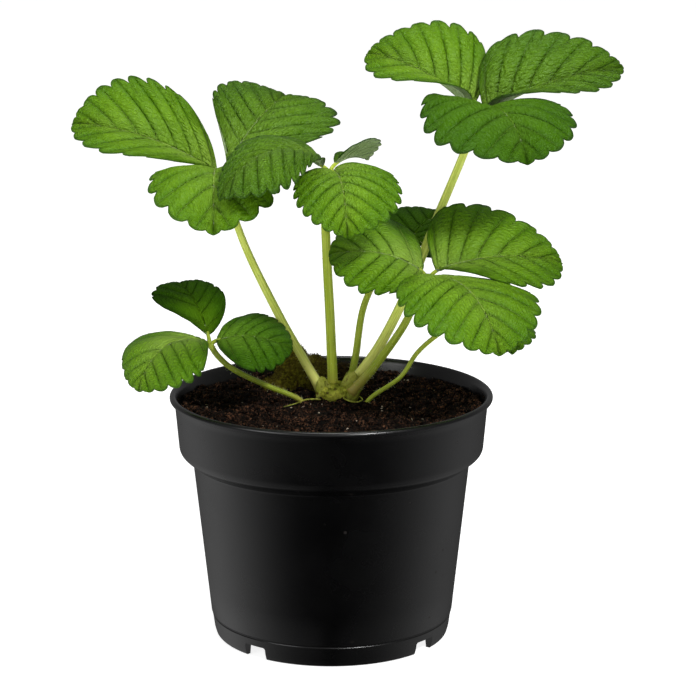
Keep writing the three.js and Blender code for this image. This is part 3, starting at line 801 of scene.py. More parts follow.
class Finish(Enum):
    """The finishes of this plant and its pot."""

    LEAF = LeafFinish(
        "leaf_upper", paint(110, 152, 23), paint(60, 102, 5), paint(38, 70, 3), paint(158, 188, 82)
    )
    WRINKLED = LeafFinish(
        "leaf_wrinkled", paint(98, 140, 24), paint(54, 92, 6), paint(34, 64, 4), paint(126, 160, 56),
        roughness=0.36, net_depth=0.8, shine=0.24,
    )
    # A darker copy of the leaf: partly a deeper green, partly painted shade for leaflets in the shade of
    # others.
    DEEP = LeafFinish(
        "leaf_deep", paint(74, 116, 10), paint(46, 82, 3), paint(26, 52, 2), paint(112, 150, 46),
        roughness=0.4, net_depth=0.5, shine=0.13,
    )
    SHADED = LeafFinish(
        "leaf_shaded", paint(60, 96, 5), paint(38, 68, 2), paint(22, 42, 1), paint(84, 118, 20),
        roughness=0.5, net_depth=0.3, shine=0.06,
    )
    UNDERSIDE = UndersideFinish()
    STALK = StalkFinish("stalk_green", paint(192, 208, 78), paint(146, 166, 40), paint(184, 178, 78))
    STALK_PALE = StalkFinish(
        "stalk_pale", paint(222, 232, 116), paint(174, 190, 66), paint(222, 222, 120), foot_share=0.3
    )
    STALK_DARK = StalkFinish(
        "stalk_deep", paint(164, 180, 64), paint(120, 138, 34), paint(160, 148, 70), foot_share=0.3
    )
    POT = PotPlastic()
    PEAT = PeatFinish()
    MOSS = MossFinish()
    CROWN = CrownFinish(
        "crown_tissue", paint(208, 210, 78), paint(128, 136, 34), paint(48, 28, 12), scars=0.5
    )
    SHEATH = CrownFinish("sheath", paint(190, 194, 88), paint(142, 150, 48), paint(80, 52, 24), scars=0.4)
    HAIR = StalkFinish("hair", paint(206, 212, 168), paint(190, 200, 150), paint(206, 212, 168))

    def material(self) -> Material:
        """Returns the finish's material, built on first use."""
        found = bpy.data.materials.get(self.value.name)
        return found if found else self.value.make()


def dress(piece: Object, slot: str, *finishes: Finish) -> None:
    """Gives a piece its finishes and hangs it on the part.

    Args:
        piece: The object to dress.
        slot: The record's material slot that it stands for. It is not used.
        finishes: One finish for each of the piece's own material slots.
    """
    piece.data.materials.clear()
    for finish in finishes:
        piece.data.materials.append(finish.material())
    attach(piece, "root")
    log.info("%s: %d faces", piece.name, len(piece.data.polygons))


# The pot

@dataclass
class Pot:
    """A round nursery pot with a tall band under its lip, and feet with drainage notches."""

    height: float = 92.0
    lip_radius: float = 60.0
    lip_bead: float = 1.2
    wall: float = 1.4
    band_top_radius: float = 58.4
    band_bottom_radius: float = 56.7
    band_bottom: float = 72.6
    shoulder: float = 4.0
    body_top: float = 66.4
    body_top_radius: float = 51.6
    body_foot_radius: float = 45.4
    groove_height: float = 8.5
    foot_radius: float = 43.8
    foot_wall: float = 2.2
    floor_rise: float = 4.8
    disc_radius: float = 20.0
    notches: int = 4
    notch_width: float = 9.6
    notch_turn: float = 51.0
    drains: int = 8
    drain_radius: float = 3.5
    drain_circle: float = 32.0
    sides: int = 144

    NOTCH_DEPTH = 12.0
    NOTCH_ROUND = 0.9
    DRAIN_DEPTH = 8.0
    DRAIN_SIDES = 28
    CREASE = 38.0  # edges sharper than this many degrees stay crisp

    def body_outer(self, height: float) -> float:
        """Returns the body's outer radius at a height."""
        share = (height - self.groove_height) / (self.body_top - self.groove_height)
        return self.body_foot_radius + (self.body_top_radius - self.body_foot_radius) * share

    def band_inner(self, height: float) -> float:
        """Returns the band's inner radius at a height."""
        share = (height - self.band_bottom) / (self.height - self.band_bottom)
        return self.band_bottom_radius + (self.band_top_radius - self.band_bottom_radius) * share - self.wall

    def hollow(self, inset: float, top: float) -> Outline:
        """Returns the outline of the hollow from its floor up to a height."""
        floor = self.floor_rise + self.wall
        well = self.disc_radius - self.wall
        ledge = self.body_top + self.wall
        return [
            (2.0, self.wall + inset),
            (well - inset, self.wall + inset),
            (well + 2.0 - inset, floor + inset),
            (self.body_outer(floor) - self.wall - inset - 0.6, floor + inset),
            (self.body_outer(self.body_top) - self.wall - inset, ledge + inset),
            (self.band_inner(self.band_bottom) - 1.2 - inset, ledge + 2.4 + inset),
            (self.band_inner(self.band_bottom) - inset, self.band_bottom + self.wall),
            (self.band_inner(top) - inset, top),
        ]

    @staticmethod
    def arc(centre: Sequence[float], radius: float, start: float, end: float, steps: int) -> Outline:
        """Returns points round a corner, with angles in degrees."""
        made = []
        for i in range(steps + 1):
            angle = math.radians(start + (end - start) * i / steps)
            made.append((centre[0] + radius * math.cos(angle), centre[1] + radius * math.sin(angle)))
        return made

    def outline(self) -> Outline:
        """Returns the whole outline, from the middle of the base round the lip to the floor."""
        lip = (self.lip_radius - self.lip_bead, self.height - self.lip_bead)
        bend = (self.band_bottom_radius - self.shoulder, self.band_bottom)
        foot = self.foot_radius
        groove = self.body_foot_radius
        body = [
            (self.body_outer(h), h)
            for h in (self.groove_height + 0.3, 20.0, 32.0, 44.0, 56.0, self.body_top - 0.6)
        ]
        outside = [
            (2.0, 0.0),
            (self.disc_radius, 0.0),
            (self.disc_radius + 2.0, self.floor_rise),
            (foot - self.foot_wall - 0.6, self.floor_rise),
            (foot - self.foot_wall, 0.0),
            *self.arc((foot - 0.9, 0.9), 0.9, -90.0, -10.0, 4),
            (foot + 0.5, 2.5),
            (groove - 0.45, self.groove_height - 1.4),
            *self.arc((groove - 0.1, self.groove_height - 0.7), 0.5, 240.0, 130.0, 4),
            *body,
            *self.arc((self.body_top_radius + 0.5, self.body_top - 0.1), 0.5, 180.0, 100.0, 3),
            *self.arc(bend, self.shoulder, -76.0, 0.0, 9),
            *[(self.band_outer(h), h) for h in (76.0, 80.0, 84.0, 87.0, 88.6)],
            *self.arc((self.band_top_radius + 0.45, self.height - 2.75), 0.4, 180.0, 95.0, 3),
            *self.arc(lip, self.lip_bead, -62.0, 150.0, 12),
        ]
        return outside + self.hollow(0.0, self.height - 1.9)[::-1]

    def band_outer(self, height: float) -> float:
        """Returns the band's outer radius at a height."""
        return self.band_inner(height) + self.wall

    def build(self) -> Object:
        """Builds the pot with its notches and drainage holes."""
        pot = ring_form("pot_shell", self.outline(), self.sides)
        settle(pot, merge=0.002, outwards=True)
        for i in range(self.notches):
            self.cut_notch(pot, math.radians(self.notch_turn + 360.0 * i / self.notches))
        for i in range(self.drains):
            self.cut_drain(pot, TURN * (i + 0.5) / self.drains)
        only(pot)
        bpy.ops.object.shade_smooth_by_angle(angle=math.radians(self.CREASE))
        dress(pot, "pot_plastic", Finish.POT)
        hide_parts("pot")
        return pot

    def cut_notch(self, pot: Object, turn: float) -> None:
        """Cuts one drainage notch through the feet."""
        start_fresh()
        reach = self.foot_radius
        spot = (reach * math.sin(turn) * MM, -reach * math.cos(turn) * MM, 0.0)
        bpy.ops.mesh.primitive_cube_add(size=1.0, location=spot, rotation=(0.0, 0.0, turn))
        cutter = bpy.context.object
        cutter.scale = (self.notch_width * MM, self.NOTCH_DEPTH * MM, 2.0 * self.floor_rise * MM)
        bevel = cutter.modifiers.new("round", "BEVEL")
        bevel.width = self.NOTCH_ROUND * MM
        bevel.segments = 3
        settle(cutter)
        self.cut(pot, cutter)

    def cut_drain(self, pot: Object, turn: float) -> None:
        """Cuts one drainage hole through the floor."""
        start_fresh()
        x, y = self.drain_circle * math.cos(turn), self.drain_circle * math.sin(turn)
        bpy.ops.mesh.primitive_cylinder_add(
            vertices=self.DRAIN_SIDES,
            radius=self.drain_radius * MM,
            depth=self.DRAIN_DEPTH * MM,
            location=(x * MM, y * MM, self.floor_rise * MM),
        )
        cutter = bpy.context.object
        settle(cutter)
        self.cut(pot, cutter)

    @staticmethod
    def cut(pot: Object, cutter: Object) -> None:
        """Takes one shape out of the pot."""
        cut = pot.modifiers.new("cut", "BOOLEAN")
        cut.operation = "DIFFERENCE"
        cut.solver = "EXACT"
        cut.object = cutter
        settle(pot)
        bpy.data.objects.remove(cutter)


# The soil and what lies on it

@dataclass
class Soil:
    """The peat that fills the pot, with loose crumbs and fibres on its lumpy top."""

    pot: Pot
    level: float = 87.0
    lump: float = 1.1
    seed: int = 7
    lumps: int = 26
    crumbs: int = 4600
    fibres: int = 420
    heaps: list[tuple[float, float, float, float]] = field(default_factory=list)

    GAP = 0.35  # between the soil and the pot's wall
    RINGS = 110
    SIDES = 150
    REACH = 55.6  # how far out loose bits lie
    WALL_ZONE = 53.5  # crumbs this far out stay below the lip
    WALL_TOP = 89.0

    def __post_init__(self) -> None:
        """Draws the lumps as in the solids."""
        drawer = Drawer(self.seed)
        for _ in range(self.lumps):
            turn = TURN * drawer.draw()
            out = 12.0 + 44.0 * math.sqrt(drawer.draw())
            size = 6.0 + 6.0 * drawer.draw()
            high = self.lump * (2.0 * drawer.draw() - 0.8)
            self.heaps.append((out * math.cos(turn), out * math.sin(turn), size, high))

    def height(self, x: float, y: float) -> float:
        """Returns the height of the soil at a place."""
        rise = self.level + 1.6 * math.exp(-(x * x + y * y) / 300.0)
        for heap_x, heap_y, size, high in self.heaps:
            rise += high * math.exp(-((x - heap_x) ** 2 + (y - heap_y) ** 2) / size ** 2)
        return rise

    def rough_height(self, x: float, y: float) -> float:
        """Returns the height with the small clods that the solids leave out."""
        clod = noise.noise(Vector((x * 0.16, y * 0.16, 3.0)))
        grain = noise.noise(Vector((x * 0.45, y * 0.45, 9.0)))
        crumb = noise.noise(Vector((x * 1.1, y * 1.1, 5.0)))
        hollow = -1.6 * smooth(noise.noise(Vector((x * 0.09, y * 0.12, 21.0))), 0.25, 0.55)
        return self.height(x, y) + 0.9 * clod + 0.55 * grain + 0.28 * crumb + hollow

    def build(self) -> Object:
        """Builds the soil body."""
        wall = self.pot.hollow(self.GAP, self.level - 0.5)
        edge = wall[-1][0]
        rings, sides = self.RINGS, self.SIDES
        body = len(wall) - 1

        def place(column: int, row: int) -> Vector:
            """Runs from the middle of the floor up the wall and over the top."""
            angle = TURN * (column % sides) / sides
            if row <= body:
                radius, z = wall[row]
                radius = 0.0 if row == 0 else radius
            else:
                radius = edge * (1.0 - (row - body) / rings)
                z = None
            x, y = radius * math.cos(angle), radius * math.sin(angle)
            return Vector((x, y, self.rough_height(x, y) if z is None else z))

        soil = shaped_grid("soil_body", sides, body + rings, place, lambda c, r: (c / sides, r / rings))
        settle(soil, merge=0.01, outwards=True)
        bpy.ops.object.shade_smooth()
        dress(soil, "peat", Finish.PEAT)
        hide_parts("soil")
        return soil

    def on_top(self, drawer: Drawer) -> tuple[float, float]:
        """Draws a place on top of the soil."""
        turn = TURN * drawer.draw()
        out = self.REACH * math.sqrt(drawer.draw())
        return out * math.cos(turn), out * math.sin(turn)

    def build_crumbs(self) -> Object:
        """Scatters loose crumbs over the soil."""
        start_fresh()
        bpy.ops.mesh.primitive_ico_sphere_add(subdivisions=1, radius=MM)
        crumb = bpy.context.object
        places, tones = [], []
        drawer = Drawer(31)
        for _ in range(self.crumbs):
            x, y = self.on_top(drawer)
            tone = drawer.draw() ** 1.7
            size = 0.32 + 1.3 * drawer.draw() ** 2.6
            if tone > PALE_TONE:
                size = 0.2 + 0.25 * size
            z = self.rough_height(x, y) + size * drawer.between(0.1, 0.7)
            if math.hypot(x, y) > self.WALL_ZONE:
                z = min(z, self.WALL_TOP)
            turn = tipped(6.28 * drawer.draw(), 3.0 * drawer.draw())
            stretch = [size * drawer.between(*span) for span in ((0.8, 1.7), (0.7, 1.1), (0.5, 0.9))]
            places.append(placed(Vector((x, y, z)) * MM, turn, stretch))
            tones.append(tone)
        crumbs = scatter("peat_crumbs", crumb, places, tones)
        dress(crumbs, "peat", Finish.PEAT)
        return crumbs

    def build_fibres(self) -> Object:
        """Scatters short fibres and splinters over the soil."""
        start_fresh()
        bpy.ops.mesh.primitive_cone_add(vertices=4, radius1=0.12 * MM, radius2=0.04 * MM, depth=MM)
        splinter = bpy.context.object
        places, tones = [], []
        drawer = Drawer(57)
        for _ in range(self.fibres):
            x, y = self.on_top(drawer)
            length = 1.2 + 5.0 * drawer.draw() ** 3
            lift = drawer.between(-15.0, 32.0) if math.hypot(x, y) < 50.0 else 4.0
            turn = tipped(6.28 * drawer.draw(), math.radians(90.0 - lift))
            thick = drawer.between(0.7, 1.5)
            spot = Vector((x, y, self.rough_height(x, y) + 0.5)) * MM
            places.append(placed(spot, turn, (thick, thick, length)))
            tones.append(drawer.between(0.35, 1.0))
        fibres = scatter("peat_fibres", splinter, places, tones)
        dress(fibres, "peat", Finish.PEAT)
        return fibres


@dataclass
class MossClump:
    """A clump of mossy peat behind the crown, mossy at its left and blackish at its right."""

    soil: Soil
    seed: int = 3
    grain: float = 0.75
    tufts: int = 2600
    heaps: tuple[tuple[tuple[float, float], Point], ...] = (
        ((-14.0, 29.0), (8.0, 9.0, 14.5)),
        ((-6.0, 28.0), (8.0, 10.0, 12.0)),
        ((5.5, 29.0), (11.0, 8.5, 8.0)),
        ((-20.0, 24.0), (7.0, 7.0, 6.0)),
    )

    def build(self) -> Object:
        """Builds the clump from overlapping heaps."""
        drawer = Drawer(self.seed)
        lumps = [self.heap(drawer, centre, size) for centre, size in self.heaps]
        clump = join(lumps, "moss_body")
        remesh = clump.modifiers.new("merge", "REMESH")
        remesh.mode = "VOXEL"
        remesh.voxel_size = self.grain * MM
        settle(clump)
        waves = ((0.9, 0.3), (0.7, 0.8), (0.3, 1.9))
        for vertex in clump.data.vertices:
            spot = vertex.co / MM
            rough = sum(high * noise.noise(spot * often) for high, often in waves)
            vertex.co += vertex.normal * rough * 0.8 * MM
        bpy.ops.object.shade_smooth()
        tones = [0.5 + 0.5 * noise.noise(vertex.co / MM * 0.5) for vertex in clump.data.vertices]
        clump.data.attributes.new("tone", "FLOAT", "POINT").data.foreach_set("value", tones)
        dress(clump, "moss", Finish.MOSS)
        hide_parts("moss_clump")
        self.build_tufts(clump)
        return clump

    def heap(self, drawer: Drawer, centre: tuple[float, float], size: Point) -> Object:
        """Builds one heap, with the same bumps as in the solids."""
        bumps = []
        for _ in range(16):
            way = Vector((drawer.draw() - 0.5, drawer.draw() - 0.5, drawer.draw() - 0.3)).normalized()
            bumps.append((way, 0.3 * (drawer.draw() - 0.5)))
        start_fresh()
        bpy.ops.mesh.primitive_ico_sphere_add(subdivisions=4, radius=1.0)
        heap = bpy.context.object
        for vertex in heap.data.vertices:
            way = vertex.co.normalized()
            swell = 1.0 + sum(high * max(0.0, way.dot(to)) ** 8 for to, high in bumps)
            spot = way * swell
            vertex.co = Vector((
                centre[0] + spot.x * size[0],
                centre[1] + spot.y * size[1],
                self.soil.level + spot.z * size[2],
            )) * MM
        return heap

    def build_tufts(self, clump: Object) -> Object:
        """Covers the clump with small moss leaves and bits of peat."""
        start_fresh()
        bpy.ops.mesh.primitive_cone_add(vertices=3, radius1=0.26 * MM, radius2=0.0, depth=1.5 * MM)
        blade = bpy.context.object
        drawer = Drawer(91)
        faces = [face for face in clump.data.polygons if face.center.z > (self.soil.level + 0.5) * MM]
        places, tones = [], []
        for _ in range(self.tufts):
            face = faces[int(drawer.draw() * len(faces)) % len(faces)]
            lean = Vector((drawer.draw() - 0.5, drawer.draw() - 0.5, drawer.draw() - 0.2)) * 1.5
            way = (face.normal + lean).normalized()
            size = drawer.between(0.45, 1.15)
            flat = drawer.between(0.5, 1.2)
            spot = face.center + way * size * 0.45 * MM
            places.append(placed(spot, pointing(way), (size, size * flat, size)))
            tones.append(drawer.draw())
        tufts = scatter("moss_tufts", blade, places, tones)
        dress(tufts, "moss", Finish.MOSS)
        return tufts


# The leaves

@dataclass(frozen=True)
class Half:
    """One half of a blade. fold is its slope in degrees at the base and at the tip."""

    width: float
    shoulder: float = 0.46
    fold: tuple[float, float] = (10.0, 10.0)
    curl: float = 20.0
    head: float = 1.08
    teeth: int = 6
    toothed: float = 0.42
    heel: float | None = None

    HEAD_HANDLE = 0.86
    LAST_NOTCH = 0.975
    TOOTH_DEPTH = 0.11
    LEAN = 1.25
    BASAL_VEINS = 2
    PHASES = (0.0, 0.15, 0.3, 0.41, 0.47, 0.5, 0.53, 0.59, 0.7, 0.85)

    def outline(self, s: float) -> tuple[float, float]:
        """Returns how far out and how far along the outline is, in lengths of the midrib."""
        first = 3.0 * (1.0 - s) ** 2 * s
        second = 3.0 * (1.0 - s) * s * s
        heel = 0.1 - 0.25 * (self.shoulder - 0.46) if self.heel is None else self.heel
        return first * self.shoulder + second * self.head, first * heel + second * self.HEAD_HANDLE + s ** 3

    def widest(self) -> float:
        """Returns the outline's largest reach."""
        return max(self.outline(i / 100.0)[0] for i in range(101))

    def tooth_start(self, k: int) -> float:
        """Returns where tooth k begins on the outline. Teeth get smaller towards the tip."""
        return self.toothed + (self.LAST_NOTCH - self.toothed) * (1.0 - (1.0 - k / self.teeth) ** 1.3)

    def beat(self, s: float) -> float:
        """Returns the count of side veins passed at s. A vein lies at each half, a notch at each whole."""
        if s <= self.toothed:
            return self.BASAL_VEINS * (s / self.toothed) ** 0.8
        k = 0
        while k < self.teeth and s > self.tooth_start(k + 1):
            k += 1
        start = self.tooth_start(k)
        end = self.tooth_start(k + 1) if k < self.teeth else 2.0 - start
        share = min(1.0, (s - start) / (end - start))
        return self.BASAL_VEINS + k + (share ** self.LEAN if k < self.teeth else share)

    def reach(self, s: float) -> float:
        """Returns how far the edge reaches at s: 1 on a crest, less in a notch."""
        if s <= self.toothed:
            return 1.0
        crest = max(0.0, math.sin(math.pi * (self.beat(s) % 1.0))) ** 0.5
        return 1.0 - self.TOOTH_DEPTH * (1.0 - crest)

    def stops(self) -> list[float]:
        """Returns the vein lines that the mesh follows, close together at each vein."""
        made = [self.toothed * i / 14.0 for i in range(14)]
        for k in range(self.teeth):
            start, end = self.tooth_start(k), self.tooth_start(k + 1)
            made += [start + (end - start) * phase ** (1.0 / self.LEAN) for phase in self.PHASES]
        return made + [self.LAST_NOTCH + (1.0 - self.LAST_NOTCH) * i / 4.0 for i in range(5)]


class Skin(Enum):
    """How a leaflet's upper face looks."""

    SMOOTH = Finish.LEAF
    WRINKLED = Finish.WRINKLED
    DEEP = Finish.DEEP
    SHADED = Finish.SHADED


@dataclass(frozen=True)
class Leaflet:
    """One toothed blade, from the base to the tip of its midrib."""

    name: str
    base: Point
    tip: Point
    left: Half
    right: Half
    roll: float = 0.0
    bow: float = 3.0
    skin: Skin = Skin.SMOOTH
    quilt: float = 1.05
    seed: int = 1

    THICKNESS = 0.42
    CREASE = 60.0
    REACHES = (0.0, 0.045, 0.11, 0.2, 0.3, 0.41, 0.52, 0.63, 0.74, 0.84, 0.92, 0.97, 1.0)

    def midrib(self, u: float) -> tuple[Vector, Vector, Vector]:
        """Returns the midrib's point, direction and normal at a share of its length."""
        base, run = Vector(self.base), Vector(self.tip) - Vector(self.base)
        ahead = run.normalized()
        up = Vector((0.0, 0.0, 1.0))
        up = (up - ahead * up.dot(ahead)).normalized()
        up = Matrix.Rotation(math.radians(self.roll), 3, ahead) @ up
        point = base + run * u + up * (self.bow * 4.0 * u * (1.0 - u))
        along = (run + up * (self.bow * 4.0 * (1.0 - 2.0 * u))).normalized()
        normal = (up - along * up.dot(along)).normalized()
        return point, along, normal

    def relief(self, half: Half, s: float, t: float, x: float, y: float, side: float) -> float:
        """Returns how far the face swells or sinks: panels between sunken veins, and soft waves."""
        length = (Vector(self.tip) - Vector(self.base)).length
        spread = min(1.0, half.width / 22.0)
        sunk = abs(half.beat(s) % 1.0 - 0.5) * 2.0
        panel = math.sin(0.5 * math.pi * sunk) - 0.45
        lift = self.quilt * spread * panel * smooth(t, 0.0, 0.25) * (1.0 - 0.7 * smooth(t, 0.7, 1.0))
        lift -= 0.16 * math.exp(-(sunk * 7.0) ** 2) * (1.0 - t * 0.5)
        lift -= 0.45 * spread * math.exp(-(x / 1.1) ** 2)
        wave = noise.noise(Vector((x * side * 0.09, y * length * 0.09, self.seed * 7.3)))
        crisp = noise.noise(Vector((x * side * 0.42, y * length * 0.42, self.seed * 3.1)))
        return lift + (0.9 * wave * t * spread + 0.16 * crisp) * smooth(x, 0.0, 6.0)

    def surface(self, s: float, t: float, side: float) -> Vector:
        """Returns a point of the blade.

        Args:
            s: Which vein line, from 0 at the base to 1 at the tip.
            t: The share of the way from the midrib to the edge.
            side: 1 for the left half and -1 for the right half.

        Returns:
            The point, in millimetres.
        """
        half = self.left if side > 0.0 else self.right
        out, end = half.outline(s)
        start = 0.93 * s ** 2.6
        x = out / half.widest() * half.width * t
        y = start + (end - start) * t ** 1.15
        if t > 0.6:
            pull = 1.0 - (1.0 - half.reach(s)) * (t - 0.6) / 0.4
            x *= pull
            y = start + (y - start) * pull
        lift = self.relief(half, s, t, x, y, side)
        fold = math.radians(half.fold[1] + (half.fold[0] - half.fold[1]) * (1.0 - min(max(y, 0.0), 1.0)) ** 2)
        curl = math.radians(half.curl)
        bow = half.width / curl
        bend = fold - curl * x / half.width
        across = bow * (math.sin(fold) - math.sin(bend)) - lift * math.sin(bend)
        rise = bow * (math.cos(bend) - math.cos(fold)) + lift * math.cos(bend)
        point, along, normal = self.midrib(y)
        return point + normal.cross(along) * across * side + normal * rise

    def rows(self) -> list[float]:
        """Returns the vein lines of both halves, so that the two meet point to point."""
        made = [0.0]
        for stop in sorted(self.left.stops() + self.right.stops()):
            if stop - made[-1] > 0.0025:
                made.append(stop)
        made[-1] = 1.0
        return made

    def build_half(self, side: float) -> Object:
        """Builds one half as an open skin. Its UV map holds the way out and the count of veins."""
        half = self.left if side > 0.0 else self.right
        rows = self.rows()
        shares = self.REACHES[::-1] if side > 0.0 else self.REACHES
        return shaped_grid(
            "half",
            len(shares) - 1,
            len(rows) - 1,
            lambda column, row: self.surface(rows[row], shares[column], side),
            lambda column, row: (shares[column] * side, half.beat(rows[row])),
        )

    def build(self, leaf: str) -> Object:
        """Builds the blade and the raised midrib under it."""
        blade = join([self.build_half(1.0), self.build_half(-1.0)], f"blade_{leaf}_{self.name}")
        settle(blade, merge=0.003)
        skin = blade.modifiers.new("skin", "SOLIDIFY")
        skin.thickness = self.THICKNESS * MM
        skin.offset = 0.0
        skin.material_offset = 1
        blade.data.materials.append(self.skin.value.material())
        blade.data.materials.append(Finish.UNDERSIDE.material())
        settle(blade)
        bpy.ops.object.shade_smooth_by_angle(angle=math.radians(self.CREASE))
        rib = self.build_rib(leaf)
        blade = join([blade, rib], blade.name)
        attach(blade, "root")
        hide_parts(f"leaflet_{leaf}_{self.name}")
        log.info("%s: %d faces", blade.name, len(blade.data.polygons))
        return blade

    def build_rib(self, leaf: str) -> Object:
        """Builds the midrib that stands out below the blade."""
        path = []
        for i in range(15):
            u = 0.02 + 0.86 * i / 14.0
            point, _, normal = self.midrib(u)
            path.append(point - normal * (0.62 - 0.2 * u))
        facing = self.midrib(0.5)[2]
        rib = tube(
            f"rib_{leaf}_{self.name}",
            path,
            lambda share, angle: 0.52 * (1.0 - 0.72 * share),
            facing,
            8,
        )
        rib.data.materials.append(Finish.UNDERSIDE.material())
        return rib


@dataclass(frozen=True)
class Leaf:
    """A leaf of three leaflets on one long stalk."""

    name: str
    route: tuple[Point, ...]
    radii: tuple[float, float]
    leaflets: tuple[Leaflet, ...]
    finish: Finish = Finish.STALK
    hairs: int = 260

    LEAFLET_STALK = 0.85
    STATIONS = 56

    def facing(self) -> Vector:
        """Returns the way that the stalk's channel faces: in towards the plant, or back if upright."""
        run = Vector(self.route[-1]) - Vector(self.route[0])
        if math.hypot(run.x, run.y) < 15.0:
            return Vector((0.25, 1.0, 0.1)).normalized()
        return Vector((-run.x, -run.y, 0.35 * run.z)).normalized()

    def radius(self, share: float, angle: float) -> float:
        """Returns the stalk's radius: flared at its foot, with a channel along one side."""
        foot, head = self.radii
        size = foot + (head - foot) * share
        length = 120.0 * share
        size *= 1.0 + 0.32 * math.exp(-length / 4.0) + 0.14 * smooth(share, 0.96, 1.0)
        off = math.atan2(math.sin(angle), math.cos(angle))
        channel = 0.24 * math.exp(-(off / 0.5) ** 2)
        edges = 0.07 * (math.exp(-((off - 0.85) / 0.3) ** 2) + math.exp(-((off + 0.85) / 0.3) ** 2))
        return size * (1.0 - channel + edges)

    def branch_radius(self, share: float, angle: float) -> float:
        """Returns the radius of a leaflet's own short stalk, which is round."""
        return self.LEAFLET_STALK * (1.0 - 0.25 * share)

    def build(self) -> None:
        """Builds the stalk, its hairs and its three leaflets."""
        path = smooth_route(self.route, self.STATIONS)
        parts = [tube(f"stem_{self.name}", path, self.radius, self.facing(), 22)]
        top = Vector(self.route[-1])
        for leaflet in self.leaflets:
            base = Vector(leaflet.base)
            _, along, normal = leaflet.midrib(0.0)
            inner = top + (top - base).normalized() * 0.6 - Vector((0.0, 0.0, 0.7))
            middle = top.lerp(base, 0.55) - normal * 0.15
            outer = base + along * 1.4 - normal * 0.35
            branch = smooth_route([inner, middle, outer], 10)
            parts.append(tube("branch", branch, self.branch_radius, normal, 12))
        stalk = join(parts, f"stem_{self.name}")
        dress(stalk, "stalk", self.finish)
        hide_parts(f"stalk_{self.name}")
        self.build_hairs(path)
        for leaflet in self.leaflets:
            leaflet.build(self.name)

    def build_hairs(self, path: Sequence[Vector]) -> Object:
        """Stands fine short hairs along the stalk."""
        start_fresh()
        bpy.ops.mesh.primitive_cone_add(vertices=3, radius1=0.045 * MM, radius2=0.008 * MM, depth=MM)
        hair = bpy.context.object
        drawer = Drawer(len(self.name) * 13 + 5)
        facing = self.facing()
        places, tones = [], []
        last = len(path) - 1
        for _ in range(self.hairs):
            share = drawer.between(0.06, 1.0)
            k = min(int(share * last), last - 1)
            middle = path[k].lerp(path[k + 1], share * last - k)
            along = (path[k + 1] - path[k]).normalized()
            out = (facing - along * facing.dot(along)).normalized()
            angle = TURN * drawer.draw()
            way = out * math.cos(angle) + along.cross(out) * math.sin(angle)
            root = middle + way * self.radius(share, angle)
            lean = (way + along * drawer.between(-0.35, 0.5)).normalized()
            length = drawer.between(0.6, 1.35)
            spot = (root + lean * length * 0.45) * MM
            places.append(placed(spot, pointing(lean), (1.0, 1.0, length)))
            tones.append(drawer.draw())
        hairs = scatter(f"hairs_{self.name}", hair, places, tones)
        dress(hairs, "stalk", Finish.HAIR)
        return hairs


